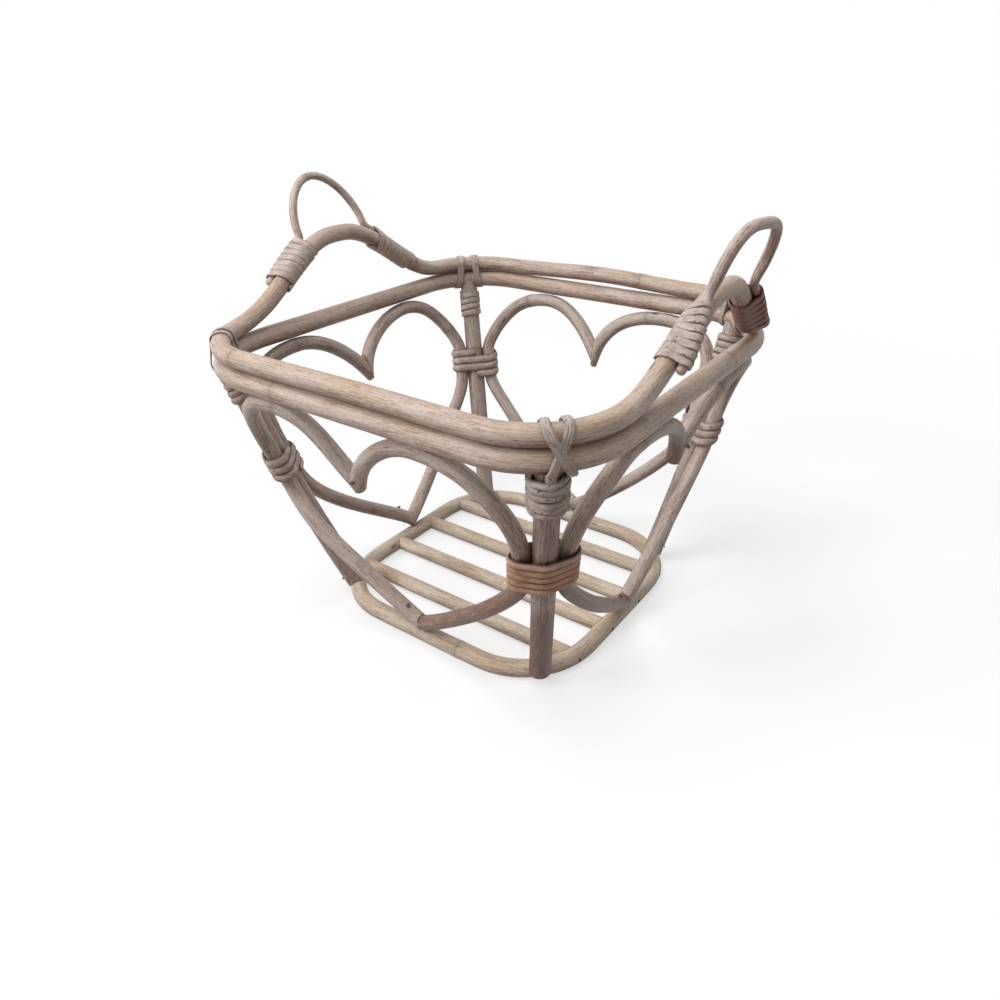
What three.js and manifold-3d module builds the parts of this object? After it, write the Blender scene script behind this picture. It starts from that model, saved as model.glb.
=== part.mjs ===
// Rattan basket: an open frame of bent canes that flares upwards, with a heart of two
// canes in each side, a rim that rises in a hump over each short side, and a thin
// handle loop lashed to each hump. Millimetres, Z up. The origin lies on the floor
// under the middle of the base ring. The long sides face -Y (front) and +Y (back).

import * as THREE from 'three';
import { mergeVertices } from 'three/addons/utils/BufferGeometryUtils.js';
import Module from 'manifold-3d';

const wasm = await Module();
wasm.setup();

// Fit of one cane against the next
const CLEARANCE = 0.3;

// Base ring, measured to the centre line of the cane
const RING_HALF_LENGTH = 114;
const RING_HALF_WIDTH = 108;
const RING_CORNER_RADIUS = 60;
const RING_DIAMETER = 13.5;
const FLOOR_FLAT_DEPTH = 0.5;

// Base slats, along X between the ring's short sides
const SLAT_DIAMETER = 12.2;
const SLAT_COUNT = 4;
const SLAT_PITCH = 44;

// Rims, measured to the centre line of the cane
const RIM_HALF_LENGTH = 168.5;
const RIM_HALF_WIDTH = 163.5;
const RIM_CORNER_RADII = { front_right: 58, front_left: 72, back_left: 58, back_right: 76 };
const LOWER_RIM_HEIGHT = 219.5;
const LOWER_RIM_DIAMETER = 15.5;
const UPPER_RIM_DIAMETER = 14;
const RIM_BOWS = { front: 0.6, back: 3 };
const SCARF_LENGTH = 18;

// Humps of the upper rim over the short sides: half length along Y, the level stretch at
// the crest, rise, and outward lean
const HUMPS = {
  left: { halfLength: 118, crest: [0, 10], rise: 51 },
  right: { halfLength: 100, crest: [4, 18], rise: 47 },
};
const HUMP_LEAN = 0.17;

// Handle loops: the arch's rise over the line between its legs, its outward lean and its
// squareness. Each leg lies along a hump from its top to its end, given as distances along
// Y from the middle, and turns round the hump from one seat angle to another, counted up
// from the outside. A wrap of a number of turns holds it.
const HANDLE_DIAMETER = 6.4;
const HANDLES = {
  left: {
    rise: 46,
    lean: 0.45,
    squareness: 1.9,
    legs: {
      front: { top: 27, end: 64, seat: [40, 15], turns: 7 },
      back: { top: 36, end: 81, seat: [60, 20], turns: 8 },
    },
  },
  right: {
    rise: 43.5,
    lean: 0.39,
    squareness: 3.4,
    legs: {
      front: { top: 20, end: 57, seat: [65, -5], turns: 8 },
      back: { top: 42, end: 79, seat: [45, 10], turns: 6 },
    },
  },
};

// Corner posts. The lapped post's foot stands over the outside of the ring. Two tops are
// swayed along the rim, towards the long side, and one takes its rim tie along. Two posts
// are bowed outwards, and the wall beside them with them.
const POST_DIAMETER = 16.5;
const LAP_OFFSET = 5;
const LAP_FLOOR_GAP = 7;
const POST_SWAYS = { front_right: 4, front_left: 0, back_left: 0, back_right: 16 };
const POST_BOWS = { front_right: 0, front_left: 3.5, back_left: 0, back_right: 4.5 };
const POST_LIP = 3;

// Heart canes, in each side's own plane: along the side from its middle, and height
const HEART_DIAMETER = 12;
const TIP_TAIL = 6;
// For each side's cusp: place along the side, height, and how far the canes run past it
const CUSPS = {
  front: { place: -11, height: 158, tail: 5 },
  back: { place: -2, height: 165, tail: 11 },
  left: { place: 0, height: 165, tail: 8 },
  right: { place: 0, height: 165, tail: 8 },
};
// For each cane: the arch top's distance from the middle of the side, the pull of the
// curve at the cusp, the reach of the arch to each side of its top, the straightness
// above and below the corner band, the pull of the curve at the tip, and how far the cane
// cuts the curve of the wall short above and below the band, from 0 to 1
const HEARTS = {
  front: [
    { apex: 78, cusp: [23, 27], arch: [44, 41], above: 12, below: 21, tip: [21, 14] },
    { apex: 56, cusp: [13, 28], arch: [19, 64], above: 26, below: 16, tip: [26, 12] },
  ],
  back: [
    { apex: 61, cusp: [13, 18], arch: [27, 54], above: 5, below: 22, tip: [30, 12] },
    { apex: 63, cusp: [6, 24], arch: [38, 60], above: 27, below: 22, tip: [30, 12] },
  ],
  left: [
    { apex: 65, cusp: [12, 18], arch: [29, 60], above: 21, below: 43, tip: [18, 18] },
    { apex: 65, cusp: [6, 22], arch: [29, 42], above: 10, below: 33, tip: [23, 15] },
  ],
  right: [
    { apex: 72, cusp: [6, 24], arch: [40, 58], above: 8, below: 22, tip: [30, 12] },
    { apex: 84, cusp: [6, 22], arch: [28, 44], above: 25, below: 10, tip: [25, 14], short: [0.3, 1] },
  ],
};

// Corner bands of peel round a post and the two heart canes beside it
const BAND_HALF_HEIGHT = 13;
const BAND_THICKNESS = 1.5;
const BANDS = {
  front_right: { height: 121, turns: 4 },
  front_left: { height: 132, turns: 3 },
  back_left: { height: 140, turns: 3 },
  back_right: { height: 129, turns: 3 },
};

// Wraps of peel round the top of each post, at a gap below the rim tie, and the room
// that they leave between the post and the heart canes above a band
const POST_WRAP_LENGTHS = { front_right: 25, front_left: 22, back_left: 22, back_right: 22 };
const POST_WRAP_THICKNESS = 1.4;
const POST_WRAP_GAP = 1.2;
const WRAP_ROOM = 3.0;
const WRAP_ROOM_START = 30;
const POST_WRAP_TURNS = { front_right: 6, front_left: 4, back_left: 3, back_right: 4 };

// Rim ties: one strand looped twice over both rims, crossed on the outside
const TIE_WIDTH = 4.4;
const TIE_THICKNESS = 1.3;
const TIE_FOOT_SPREAD = 12.8;
const TIE_TOP_SPREAD = 6;

// Handle wraps of peel round a hump and a handle leg: they start at a setback from the
// leg's top. The gap between turns is larger and they lie a little easier, because a
// hump is bent.
const HANDLE_WRAP_THICKNESS = 1.3;
const HANDLE_WRAP_SETBACK = 3;
const HANDLE_LEG_TAIL = 4;
const HANDLE_WRAP_GAP = 1.5;
const HANDLE_WRAP_EASE = 0.5;

// Peel windings: least gap between neighbouring turns, and stations in one turn
const TURN_GAP = 0.6;
const TURN_STEPS = 10;

// Nails
const NAIL_HEAD_DIAMETER = 3.4;
const NAIL_HEAD_THICKNESS = 0.8;
const NAIL_SHANK_DIAMETER = 1.6;
const NAIL_POINT_LENGTH = 2.5;
const NAIL_HEAD_GAP = 0.2;
const NAIL_SIDES = 5;
const SLAT_NAIL_LENGTH = 26;
const LAP_NAIL_LENGTH = 22;
const TOE_NAIL_LENGTH = 17;
const TOE_NAIL_RISE = 9;
const TIP_NAIL_LENGTH = 22;
const TIP_NAIL_PLACE = 10;
const CUSP_NAIL_LENGTH = 12;
const CUSP_NAIL_PLACE = 3;

// Blocks for cutting, larger than the basket
const BLOCK_SIZE = 600;

// Steps of the swept canes
const RIM_SIDES = 8;
const POST_SIDES = 10;
const HEART_SIDES = 7;
const HANDLE_SIDES = 6;
const CORNER_STEPS = 7;
const POST_BOW_STEPS = 8;
const HUMP_STEPS = 20;
const HEART_STEPS = 7;
const HANDLE_STEPS = 40;
const LEG_STEPS = 8;
const ARCH_STEPS = 10;

// Heights that follow from the sizes above
const RING_RADIUS = RING_DIAMETER / 2;
const RING_HEIGHT = RING_RADIUS - FLOOR_FLAT_DEPTH;
const LOWER_RIM_RADIUS = LOWER_RIM_DIAMETER / 2;
const UPPER_RIM_RADIUS = UPPER_RIM_DIAMETER / 2;
const UPPER_RIM_HEIGHT = LOWER_RIM_HEIGHT + LOWER_RIM_RADIUS + UPPER_RIM_RADIUS + CLEARANCE;
const POST_RADIUS = POST_DIAMETER / 2;
const HEART_RADIUS = HEART_DIAMETER / 2;
const HANDLE_RADIUS = HANDLE_DIAMETER / 2;
const WALL_HEIGHT = LOWER_RIM_HEIGHT - RING_HEIGHT;
const HANDLE_SEAT = UPPER_RIM_RADIUS + HANDLE_RADIUS + CLEARANCE;
const RIM_FLAT_SHARE = 1 - Math.cos(Math.PI / (4 * CORNER_STEPS));
const TIP_HEIGHT = RING_HEIGHT + RING_RADIUS + HEART_RADIUS + CLEARANCE;

const UP = new THREE.Vector3(0, 0, 1);

// The four sides: across is the direction that the side faces, and long sides run along X
const SIDES = {
  front: { facing: -1, long: true },
  back: { facing: 1, long: true },
  left: { facing: -1, long: false },
  right: { facing: 1, long: false },
};

const CORNERS = {
  front_right: { x: 1, y: -1 },
  front_left: { x: -1, y: -1 },
  back_left: { x: -1, y: 1 },
  back_right: { x: 1, y: 1 },
};
const LAPPED_CORNER = 'front_right';
const FOLLOWED_CORNER = 'back_right';
const LEG_ENDS = { front: -1, back: 1 };

// Half length and half width of the wall's plan at a height
function wallPlan(height) {
  const t = (height - RING_HEIGHT) / WALL_HEIGHT;
  return {
    length: THREE.MathUtils.lerp(RING_HALF_LENGTH, RIM_HALF_LENGTH, t),
    width: THREE.MathUtils.lerp(RING_HALF_WIDTH, RIM_HALF_WIDTH, t),
  };
}

// How far a corner is bowed outwards at a height
function cornerBow(name, height) {
  const t = THREE.MathUtils.clamp((height - RING_HEIGHT) / WALL_HEIGHT, 0, 1);
  return POST_BOWS[name] * Math.sin(Math.PI * t);
}

function cornerRadius(name, height) {
  const t = (height - RING_HEIGHT) / WALL_HEIGHT;
  const straight = THREE.MathUtils.lerp(RING_CORNER_RADIUS, RIM_CORNER_RADII[name], t);
  return straight - cornerBow(name, height) / (Math.SQRT2 - 1);
}

// The corner at one end of a side
function cornerAt(side, end) {
  const [x, y] = side.long ? [end, side.facing] : [side.facing, end];
  return Object.keys(CORNERS).find((name) => CORNERS[name].x === x && CORNERS[name].y === y);
}

// The wall's half length along a side and its distance from the middle of the basket
function sidePlan(side, height) {
  const plan = wallPlan(height);
  return side.long
    ? { reach: plan.length, distance: plan.width }
    : { reach: plan.width, distance: plan.length };
}

// A point of the wall, given along a side from its middle and in height
function wallPoint(side, along, height) {
  const { reach, distance } = sidePlan(side, height);
  const corner = cornerRadius(cornerAt(side, along < 0 ? -1 : 1), height);
  const intoCorner = Math.max(0, Math.abs(along) - (reach - corner));
  const across = distance - corner + Math.sqrt(Math.max(0, corner ** 2 - intoCorner ** 2));
  return side.long
    ? new THREE.Vector3(along, side.facing * across, height)
    : new THREE.Vector3(side.facing * across, along, height);
}

// A point of a rounded corner of the wall at a height: its middle, or at an angle from it
// towards the long side
function cornerPoint(name, height, turn = 0) {
  const plan = wallPlan(height);
  const radius = cornerRadius(name, height);
  const angle = Math.PI / 4 + turn;
  const x = plan.length - radius * (1 - Math.cos(angle));
  const y = plan.width - radius * (1 - Math.sin(angle));
  return new THREE.Vector3(CORNERS[name].x * x, CORNERS[name].y * y, height);
}

function cornerOutward(corner) {
  return new THREE.Vector3(corner.x, corner.y, 0).normalize();
}

// Angle by which a post stands aside from the middle of its corner at a height
function postTurn(name, height) {
  return POST_SWAYS[name] * (height - RING_HEIGHT) / WALL_HEIGHT / cornerRadius(name, height);
}

// A point on a post's axis. The lapped post's foot stands further out than the others.
function postPlace(name, height) {
  const lap = name === LAPPED_CORNER ? LAP_OFFSET * (LOWER_RIM_HEIGHT - height) / WALL_HEIGHT : 0;
  const outward = cornerOutward(CORNERS[name]);
  return cornerPoint(name, height, postTurn(name, height)).addScaledVector(outward, lap);
}

// The same on the line between the post's foot and its top, with the post's bow
function postPoint(name, height) {
  const share = (height - RING_HEIGHT) / WALL_HEIGHT;
  return postPlace(name, RING_HEIGHT).lerp(postPlace(name, LOWER_RIM_HEIGHT), share)
    .addScaledVector(cornerOutward(CORNERS[name]), cornerBow(name, height));
}

// Rise of a hump at a distance along Y from its middle
function humpRise(hump, y) {
  const [from, to] = hump.crest;
  const front = (from - y) / (hump.halfLength + from);
  const back = (y - to) / (hump.halfLength - to);
  const beyond = THREE.MathUtils.clamp(Math.max(front, back), 0, 1);
  return hump.rise * Math.cos(Math.PI / 2 * beyond) ** 2;
}

// A path through given points, with one section of the cane at each of them
class PointPath extends THREE.Curve {
  constructor(points) {
    super();
    this.points = points;
  }

  getPoint(t) {
    const place = t * (this.points.length - 1);
    const index = Math.min(Math.floor(place), this.points.length - 2);
    return this.points[index].clone().lerp(this.points[index + 1], place - index);
  }

  getPointAt(u) {
    return this.getPoint(u);
  }

  getSpacedPoints() {
    return this.points.map((point) => point.clone());
  }

  getTangentAt(u) {
    const index = Math.round(u * (this.points.length - 1));
    const before = this.points[Math.max(0, index - 1)];
    const after = this.points[Math.min(this.points.length - 1, index + 1)];
    return after.clone().sub(before).normalize();
  }
}

// A round section with its flats, used for every cane
function roundSection(radius, sides) {
  const points = [];
  for (let i = 0; i < sides; i += 1) {
    const angle = 2 * Math.PI * (i + 0.5) / sides;
    points.push(new THREE.Vector2(radius * Math.cos(angle), radius * Math.sin(angle)));
  }
  return new THREE.Shape(points);
}

function cane(points, radius, sides) {
  return new THREE.ExtrudeGeometry(roundSection(radius, sides), {
    extrudePath: new PointPath(points),
    steps: points.length - 1,
    bevelEnabled: false,
  });
}

// A straight round bar from one point to another
function bar(from, to, radius, sides) {
  const axis = to.clone().sub(from);
  const geometry = new THREE.CylinderGeometry(radius, radius, axis.length(), sides);
  geometry.applyQuaternion(new THREE.Quaternion().setFromUnitVectors(
    new THREE.Vector3(0, 1, 0), axis.clone().normalize()));
  return geometry.translate((from.x + to.x) / 2, (from.y + to.y) / 2, (from.z + to.z) / 2);
}

// Solids for cutting
function toSolid(geometry) {
  const bare = geometry.clone();
  bare.deleteAttribute('normal');
  bare.deleteAttribute('uv');
  const merged = mergeVertices(bare, 1e-4);
  return new wasm.Manifold(new wasm.Mesh({
    numProp: 3,
    vertProperties: Float32Array.from(merged.attributes.position.array),
    triVerts: Uint32Array.from(merged.index.array),
  }));
}

function toGeometry(solid) {
  const mesh = solid.getMesh();
  const geometry = new THREE.BufferGeometry();
  geometry.setAttribute('position', new THREE.BufferAttribute(mesh.vertProperties, 3));
  geometry.setIndex(new THREE.BufferAttribute(mesh.triVerts, 1));
  return geometry;
}

function cutAway(geometry, cutters) {
  let solid = toSolid(geometry);
  for (const cutter of cutters) {
    solid = solid.subtract(toSolid(cutter));
  }
  return toGeometry(solid);
}

// A block that fills everything below a level plane
function blockBelow(height) {
  const block = new THREE.BoxGeometry(BLOCK_SIZE, BLOCK_SIZE, BLOCK_SIZE);
  return block.translate(0, 0, height - BLOCK_SIZE / 2);
}

// A block that fills the inner half of the base ring's corner
function blockInsideRing(name) {
  const corner = CORNERS[name];
  const block = new THREE.BoxGeometry(2 * POST_DIAMETER, 2 * POST_DIAMETER, 2 * RING_HEIGHT);
  const place = cornerPoint(name, RING_HEIGHT).addScaledVector(cornerOutward(corner), -POST_DIAMETER);
  return block.rotateZ(Math.atan2(corner.y, corner.x)).translate(place.x, place.y, 0);
}

// A block that fills everything beyond a place along a side, above or below a level
function blockBeyond(side, end, place, level, upward) {
  const shift = place - end * (BLOCK_SIZE / 2 - CLEARANCE / 2);
  const block = new THREE.BoxGeometry(BLOCK_SIZE, BLOCK_SIZE, BLOCK_SIZE);
  const rise = level + (upward ? BLOCK_SIZE / 2 : -BLOCK_SIZE / 2);
  return side.long ? block.translate(shift, 0, rise) : block.translate(0, shift, rise);
}

// Points of a round-cornered ring in plan, counter-clockwise from the middle of the right
// side; straight is the number of steps along half a side
function ringPlan(halfLength, halfWidth, radii, straightX, straightY) {
  const points = [];
  const order = ['back_right', 'back_left', 'front_left', 'front_right'];
  const [first, second, third, fourth] = order.map((name) => {
    const corner = radii[name];
    return {
      corner,
      x: CORNERS[name].x * (halfLength - corner),
      y: CORNERS[name].y * (halfWidth - corner),
    };
  });
  const turn = ({ x, y, corner }, quarter) => {
    for (let i = 0; i <= CORNER_STEPS; i += 1) {
      const angle = Math.PI / 2 * (quarter + i / CORNER_STEPS);
      points.push(new THREE.Vector2(x + corner * Math.cos(angle), y + corner * Math.sin(angle)));
    }
  };
  const run = (from, to, steps) => {
    for (let i = 1; i < steps; i += 1) {
      points.push(from.clone().lerp(to, i / steps));
    }
  };
  points.push(new THREE.Vector2(halfLength, 0));
  run(points[0], new THREE.Vector2(halfLength, first.y), straightY);
  turn(first, 0);
  run(new THREE.Vector2(first.x, halfWidth), new THREE.Vector2(second.x, halfWidth), 2 * straightX);
  turn(second, 1);
  run(new THREE.Vector2(-halfLength, second.y), new THREE.Vector2(-halfLength, third.y), 2 * straightY);
  turn(third, 2);
  run(new THREE.Vector2(third.x, -halfWidth), new THREE.Vector2(fourth.x, -halfWidth), 2 * straightX);
  turn(fourth, 3);
  run(new THREE.Vector2(halfLength, fourth.y), points[0], straightY);
  points.push(points[0].clone());
  return points;
}

// Starts a closed list of points at another of its points
function startAt(points, index) {
  const open = points.slice(0, -1);
  const turned = [...open.slice(index), ...open.slice(0, index)];
  return [...turned, turned[0].clone()];
}

function nearestIndex(points, target) {
  let best = 0;
  points.forEach((point, index) => {
    if (point.distanceTo(target) < points[best].distanceTo(target)) {
      best = index;
    }
  });
  return best;
}

// A ring of cane whose two ends meet at a slanted scarf with a thin gap
function scarfedRing(points, radius) {
  const path = points.map((point) => point.clone());
  const last = path.length - 1;
  const along = path[1].clone().sub(path[0]).normalize();
  path[0].addScaledVector(along, CLEARANCE / 2);
  path[last].addScaledVector(along, -CLEARANCE / 2);
  const geometry = cane(path, radius, RIM_SIDES);
  const inward = along.clone().cross(UP).normalize();
  const position = geometry.attributes.position;
  const vertex = new THREE.Vector3();
  for (let i = 0; i < position.count; i += 1) {
    vertex.fromBufferAttribute(position, i);
    for (const end of [path[0], path[last]]) {
      const offset = vertex.clone().sub(end);
      if (offset.length() < radius * 1.01 && Math.abs(offset.dot(along)) < CLEARANCE / 4) {
        const slant = SCARF_LENGTH / 2 * offset.dot(inward) / radius;
        vertex.addScaledVector(along, slant);
        position.setXYZ(i, vertex.x, vertex.y, vertex.z);
        break;
      }
    }
  }
  return geometry;
}

function lowerRimPoints() {
  const plan = ringPlan(RIM_HALF_LENGTH, RIM_HALF_WIDTH, RIM_CORNER_RADII, 1, 1);
  const points = plan.map((point) => new THREE.Vector3(point.x, point.y, LOWER_RIM_HEIGHT));
  return startAt(points, nearestIndex(points, new THREE.Vector3(-RIM_HALF_LENGTH, 0, LOWER_RIM_HEIGHT)));
}

function baseRingPoints() {
  const radii = Object.fromEntries(Object.keys(CORNERS).map((name) => [name, RING_CORNER_RADIUS]));
  const plan = ringPlan(RING_HALF_LENGTH, RING_HALF_WIDTH, radii, 1, 1);
  const points = plan.map((point) => new THREE.Vector3(point.x, point.y, RING_HEIGHT));
  return startAt(points, nearestIndex(points, new THREE.Vector3(0, RING_HALF_WIDTH, RING_HEIGHT)));
}

// A point on the upper rim over a short side, by its distance along Y
function humpPoint(sideName, y) {
  const facing = SIDES[sideName].facing;
  const rise = humpRise(HUMPS[sideName], y);
  const corner = RIM_CORNER_RADII[cornerAt(SIDES[sideName], y < 0 ? -1 : 1)];
  const intoCorner = Math.max(0, Math.abs(y) - (RIM_HALF_WIDTH - corner));
  const across = RIM_HALF_LENGTH - corner + Math.sqrt(corner ** 2 - intoCorner ** 2);
  return new THREE.Vector3(facing * (across + HUMP_LEAN * rise), y, UPPER_RIM_HEIGHT + rise);
}

function upperRimPoints() {
  const plan = ringPlan(RIM_HALF_LENGTH, RIM_HALF_WIDTH, RIM_CORNER_RADII, 2, HUMP_STEPS / 2);
  const points = plan.map((point) => {
    const sideName = point.y < 0 ? 'front' : 'back';
    const straight = RIM_HALF_LENGTH - RIM_CORNER_RADII[cornerAt(SIDES[sideName], point.x < 0 ? -1 : 1)];
    if (Math.abs(point.x) > straight) {
      return humpPoint(point.x > 0 ? 'right' : 'left', point.y);
    }
    const bow = RIM_BOWS[sideName] * Math.cos(Math.PI * point.x / (2 * straight)) ** 2;
    return new THREE.Vector3(point.x, point.y, UPPER_RIM_HEIGHT + bow);
  });
  const start = new THREE.Vector3(0, RIM_HALF_WIDTH, UPPER_RIM_HEIGHT + RIM_BOWS.back);
  return startAt(points, nearestIndex(points, start));
}

// Height of a heart's arch top, where it touches the lower rim from below
function apexHeight(side) {
  const top = sidePlan(side, LOWER_RIM_HEIGHT).distance;
  const foot = sidePlan(side, RING_HEIGHT).distance;
  const lean = (top - foot) / WALL_HEIGHT;
  return LOWER_RIM_HEIGHT - (LOWER_RIM_RADIUS + HEART_RADIUS + CLEARANCE) / Math.hypot(1, lean);
}

// Distance along a side at which a heart cane passes a corner post at a gap
function besidePost(side, cornerName, height, gap) {
  const { reach } = sidePlan(side, height);
  const corner = cornerRadius(cornerName, height);
  const spacing = POST_RADIUS + HEART_RADIUS + gap;
  const turn = postTurn(cornerName, height) * (side.long ? 1 : -1);
  const angle = Math.PI / 4 + turn + 2 * Math.asin(spacing / (2 * corner));
  return reach - corner + corner * Math.cos(angle);
}

function bezierPoints(from, pullFrom, pullTo, to) {
  return new THREE.CubicBezierCurve(from, pullFrom, pullTo, to).getPoints(HEART_STEPS);
}

function extendStart(points, length) {
  const direction = points[0].clone().sub(points[1]).normalize();
  return [points[0].clone().addScaledVector(direction, length), ...points];
}

// Centre line of one heart cane: from the cusp over the arch, straight through the corner
// band, and out again to the tip on the base ring
function heartPoints(sideName, end, cornerName) {
  const side = SIDES[sideName];
  const shape = HEARTS[sideName][end < 0 ? 0 : 1];
  const flat = (along, height) => new THREE.Vector2(along, height);
  const bandTop = BANDS[cornerName].height + BAND_HALF_HEIGHT;
  const bandFoot = BANDS[cornerName].height - BAND_HALF_HEIGHT;
  const { place, height, tail } = CUSPS[sideName];
  const cusp = flat(end * place, height);
  const apex = flat(shape.apex, apexHeight(side));
  const upper = flat(besidePost(side, cornerName, bandTop, CLEARANCE), bandTop);
  const lower = flat(besidePost(side, cornerName, bandFoot, CLEARANCE), bandFoot);
  const tip = flat(0, TIP_HEIGHT);
  const rise = upper.clone().sub(lower).normalize();
  const onWall = (point) => {
    const over = THREE.MathUtils.smoothstep(point.y, bandTop, bandTop + WRAP_ROOM_START);
    const limit = besidePost(side, cornerName, point.y, THREE.MathUtils.lerp(CLEARANCE, WRAP_ROOM, over));
    return wallPoint(side, end * Math.min(point.x, limit), point.y);
  };
  const stretch = (controls, short) => {
    const straight = new THREE.CubicBezierCurve3(...controls.map(onWall)).getPoints(HEART_STEPS);
    return bezierPoints(...controls).map((point, index) => onWall(point).lerp(straight[index], short));
  };
  const [shortAbove, shortBelow] = shape.short ?? [0, 0];
  const points = [
    ...stretch([cusp, cusp.clone().add(flat(...shape.cusp)),
      apex.clone().add(flat(-shape.arch[0], 0)), apex], 0),
    ...stretch([apex, apex.clone().add(flat(shape.arch[1], 0)),
      upper.clone().addScaledVector(rise, shape.above), upper], shortAbove).slice(1),
    ...stretch([lower, lower.clone().addScaledVector(rise, -shape.below),
      tip.clone().add(flat(...shape.tip)), tip], shortBelow),
  ];
  const tailed = extendStart(points, tail);
  return extendStart(tailed.reverse(), TIP_TAIL).reverse();
}

// Direction from a hump's centre line to a handle leg that lies along it, at a place
// along Y
function seatDirection(sideName, legName, y) {
  const { top, end, seat } = HANDLES[sideName].legs[legName];
  const facing = SIDES[sideName].facing;
  const step = 1;
  const tangent = humpPoint(sideName, y + step).sub(humpPoint(sideName, y - step)).normalize();
  const outward = new THREE.Vector3(facing, 0, 0);
  outward.addScaledVector(tangent, -outward.dot(tangent)).normalize();
  const upward = outward.clone().cross(tangent).multiplyScalar(facing);
  const share = THREE.MathUtils.clamp((Math.abs(y) - top) / (end - top), 0, 1);
  const angle = THREE.MathUtils.degToRad(THREE.MathUtils.lerp(seat[0], seat[1], share));
  return outward.multiplyScalar(Math.cos(angle)).addScaledVector(upward, Math.sin(angle));
}

// Centre line of a handle leg from its top to its end
function legPoints(sideName, legName) {
  const { top, end } = HANDLES[sideName].legs[legName];
  return Array.from({ length: LEG_STEPS + 1 }, (_, index) => {
    const share = index / LEG_STEPS;
    const y = LEG_ENDS[legName] * THREE.MathUtils.lerp(top, end + HANDLE_LEG_TAIL, share);
    return humpPoint(sideName, y).addScaledVector(seatDirection(sideName, legName, y), HANDLE_SEAT);
  });
}

// Centre line of a handle loop: up one leg, over the arch and down the other leg
function handlePoints(sideName) {
  const { rise, lean, squareness } = HANDLES[sideName];
  const front = legPoints(sideName, 'front');
  const back = legPoints(sideName, 'back');
  const arch = [];
  for (let i = 1; i < ARCH_STEPS; i += 1) {
    const angle = Math.PI * (1 - i / ARCH_STEPS);
    const along = Math.sign(Math.cos(angle)) * Math.abs(Math.cos(angle)) ** (2 / squareness);
    const height = rise * Math.sin(angle) ** (2 / squareness);
    arch.push(front[0].clone().lerp(back[0], (1 + along) / 2)
      .add(new THREE.Vector3(SIDES[sideName].facing * lean * height, 0, height)));
  }
  const route = [...front.reverse(), ...arch, ...back];
  return new THREE.CatmullRomCurve3(route, false, 'centripetal').getSpacedPoints(HANDLE_STEPS);
}

// Point of the outline round some circles that faces an angle
function outlinePoint(circles, angle) {
  const facing = new THREE.Vector2(Math.cos(angle), Math.sin(angle));
  let best = null;
  circles.forEach((circle, index) => {
    const reach = circle.centre.dot(facing) + circle.radius;
    if (best === null || reach > best.reach) {
      const point = circle.centre.clone().addScaledVector(facing, circle.radius);
      best = { reach, index, facing, point };
    }
  });
  return best;
}

// Angle between two others at which the outline passes from one circle to the next
function changeAngle(circles, from, to) {
  let low = from;
  let high = to;
  const index = outlinePoint(circles, from).index;
  for (let i = 0; i < 24; i += 1) {
    const middle = (low + high) / 2;
    if (outlinePoint(circles, middle).index === index) {
      low = middle;
    } else {
      high = middle;
    }
  }
  return [low, high];
}

// Angles of a winding: even steps, and both sides of each passage between two circles
function windingAngles(circles, from, to) {
  const steps = Math.round((to - from) / (2 * Math.PI / TURN_STEPS));
  const angles = [from];
  for (let i = 1; i <= steps; i += 1) {
    const before = angles[angles.length - 1];
    const next = from + (to - from) * i / steps;
    if (outlinePoint(circles, before).index !== outlinePoint(circles, next).index) {
      angles.push(...changeAngle(circles, before, next));
    }
    angles.push(next);
  }
  return angles;
}

// Circles grown so that the flats between two stations still clear the canes inside
function grownCircles(circles, strip) {
  const flats = 1 / Math.cos(Math.PI / TURN_STEPS);
  return circles.map((circle) => ({
    centre: circle.centre,
    radius: (circle.radius + CLEARANCE) * flats + strip / 2,
  }));
}

// Stations of a winding round an axis: frameAt gives the axis point, its direction and
// the direction of angle zero at a share of the axis
function windingStations(circles, frameAt, turns, startAngle) {
  const total = 2 * Math.PI * turns;
  return windingAngles(circles, startAngle, startAngle + total).map((angle) => {
    const share = (angle - startAngle) / total;
    const { point, direction, zero } = frameAt(share);
    const quarter = direction.clone().cross(zero);
    const outline = outlinePoint(circles, angle);
    const place = (vector) => zero.clone().multiplyScalar(vector.x).addScaledVector(quarter, vector.y);
    return { point: point.clone().add(place(outline.point)), out: place(outline.facing) };
  });
}

// Directions along and across a strip at each of its stations
function stripFrames(stations) {
  const last = stations.length - 1;
  return stations.map((station, index) => {
    const before = stations[Math.max(0, index - 1)].point;
    const after = stations[Math.min(last, index + 1)].point;
    const along = after.clone().sub(before).normalize();
    const across = station.out.clone().cross(along).normalize();
    const out = along.clone().cross(across);
    return { point: station.point, along, across, out };
  });
}

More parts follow.
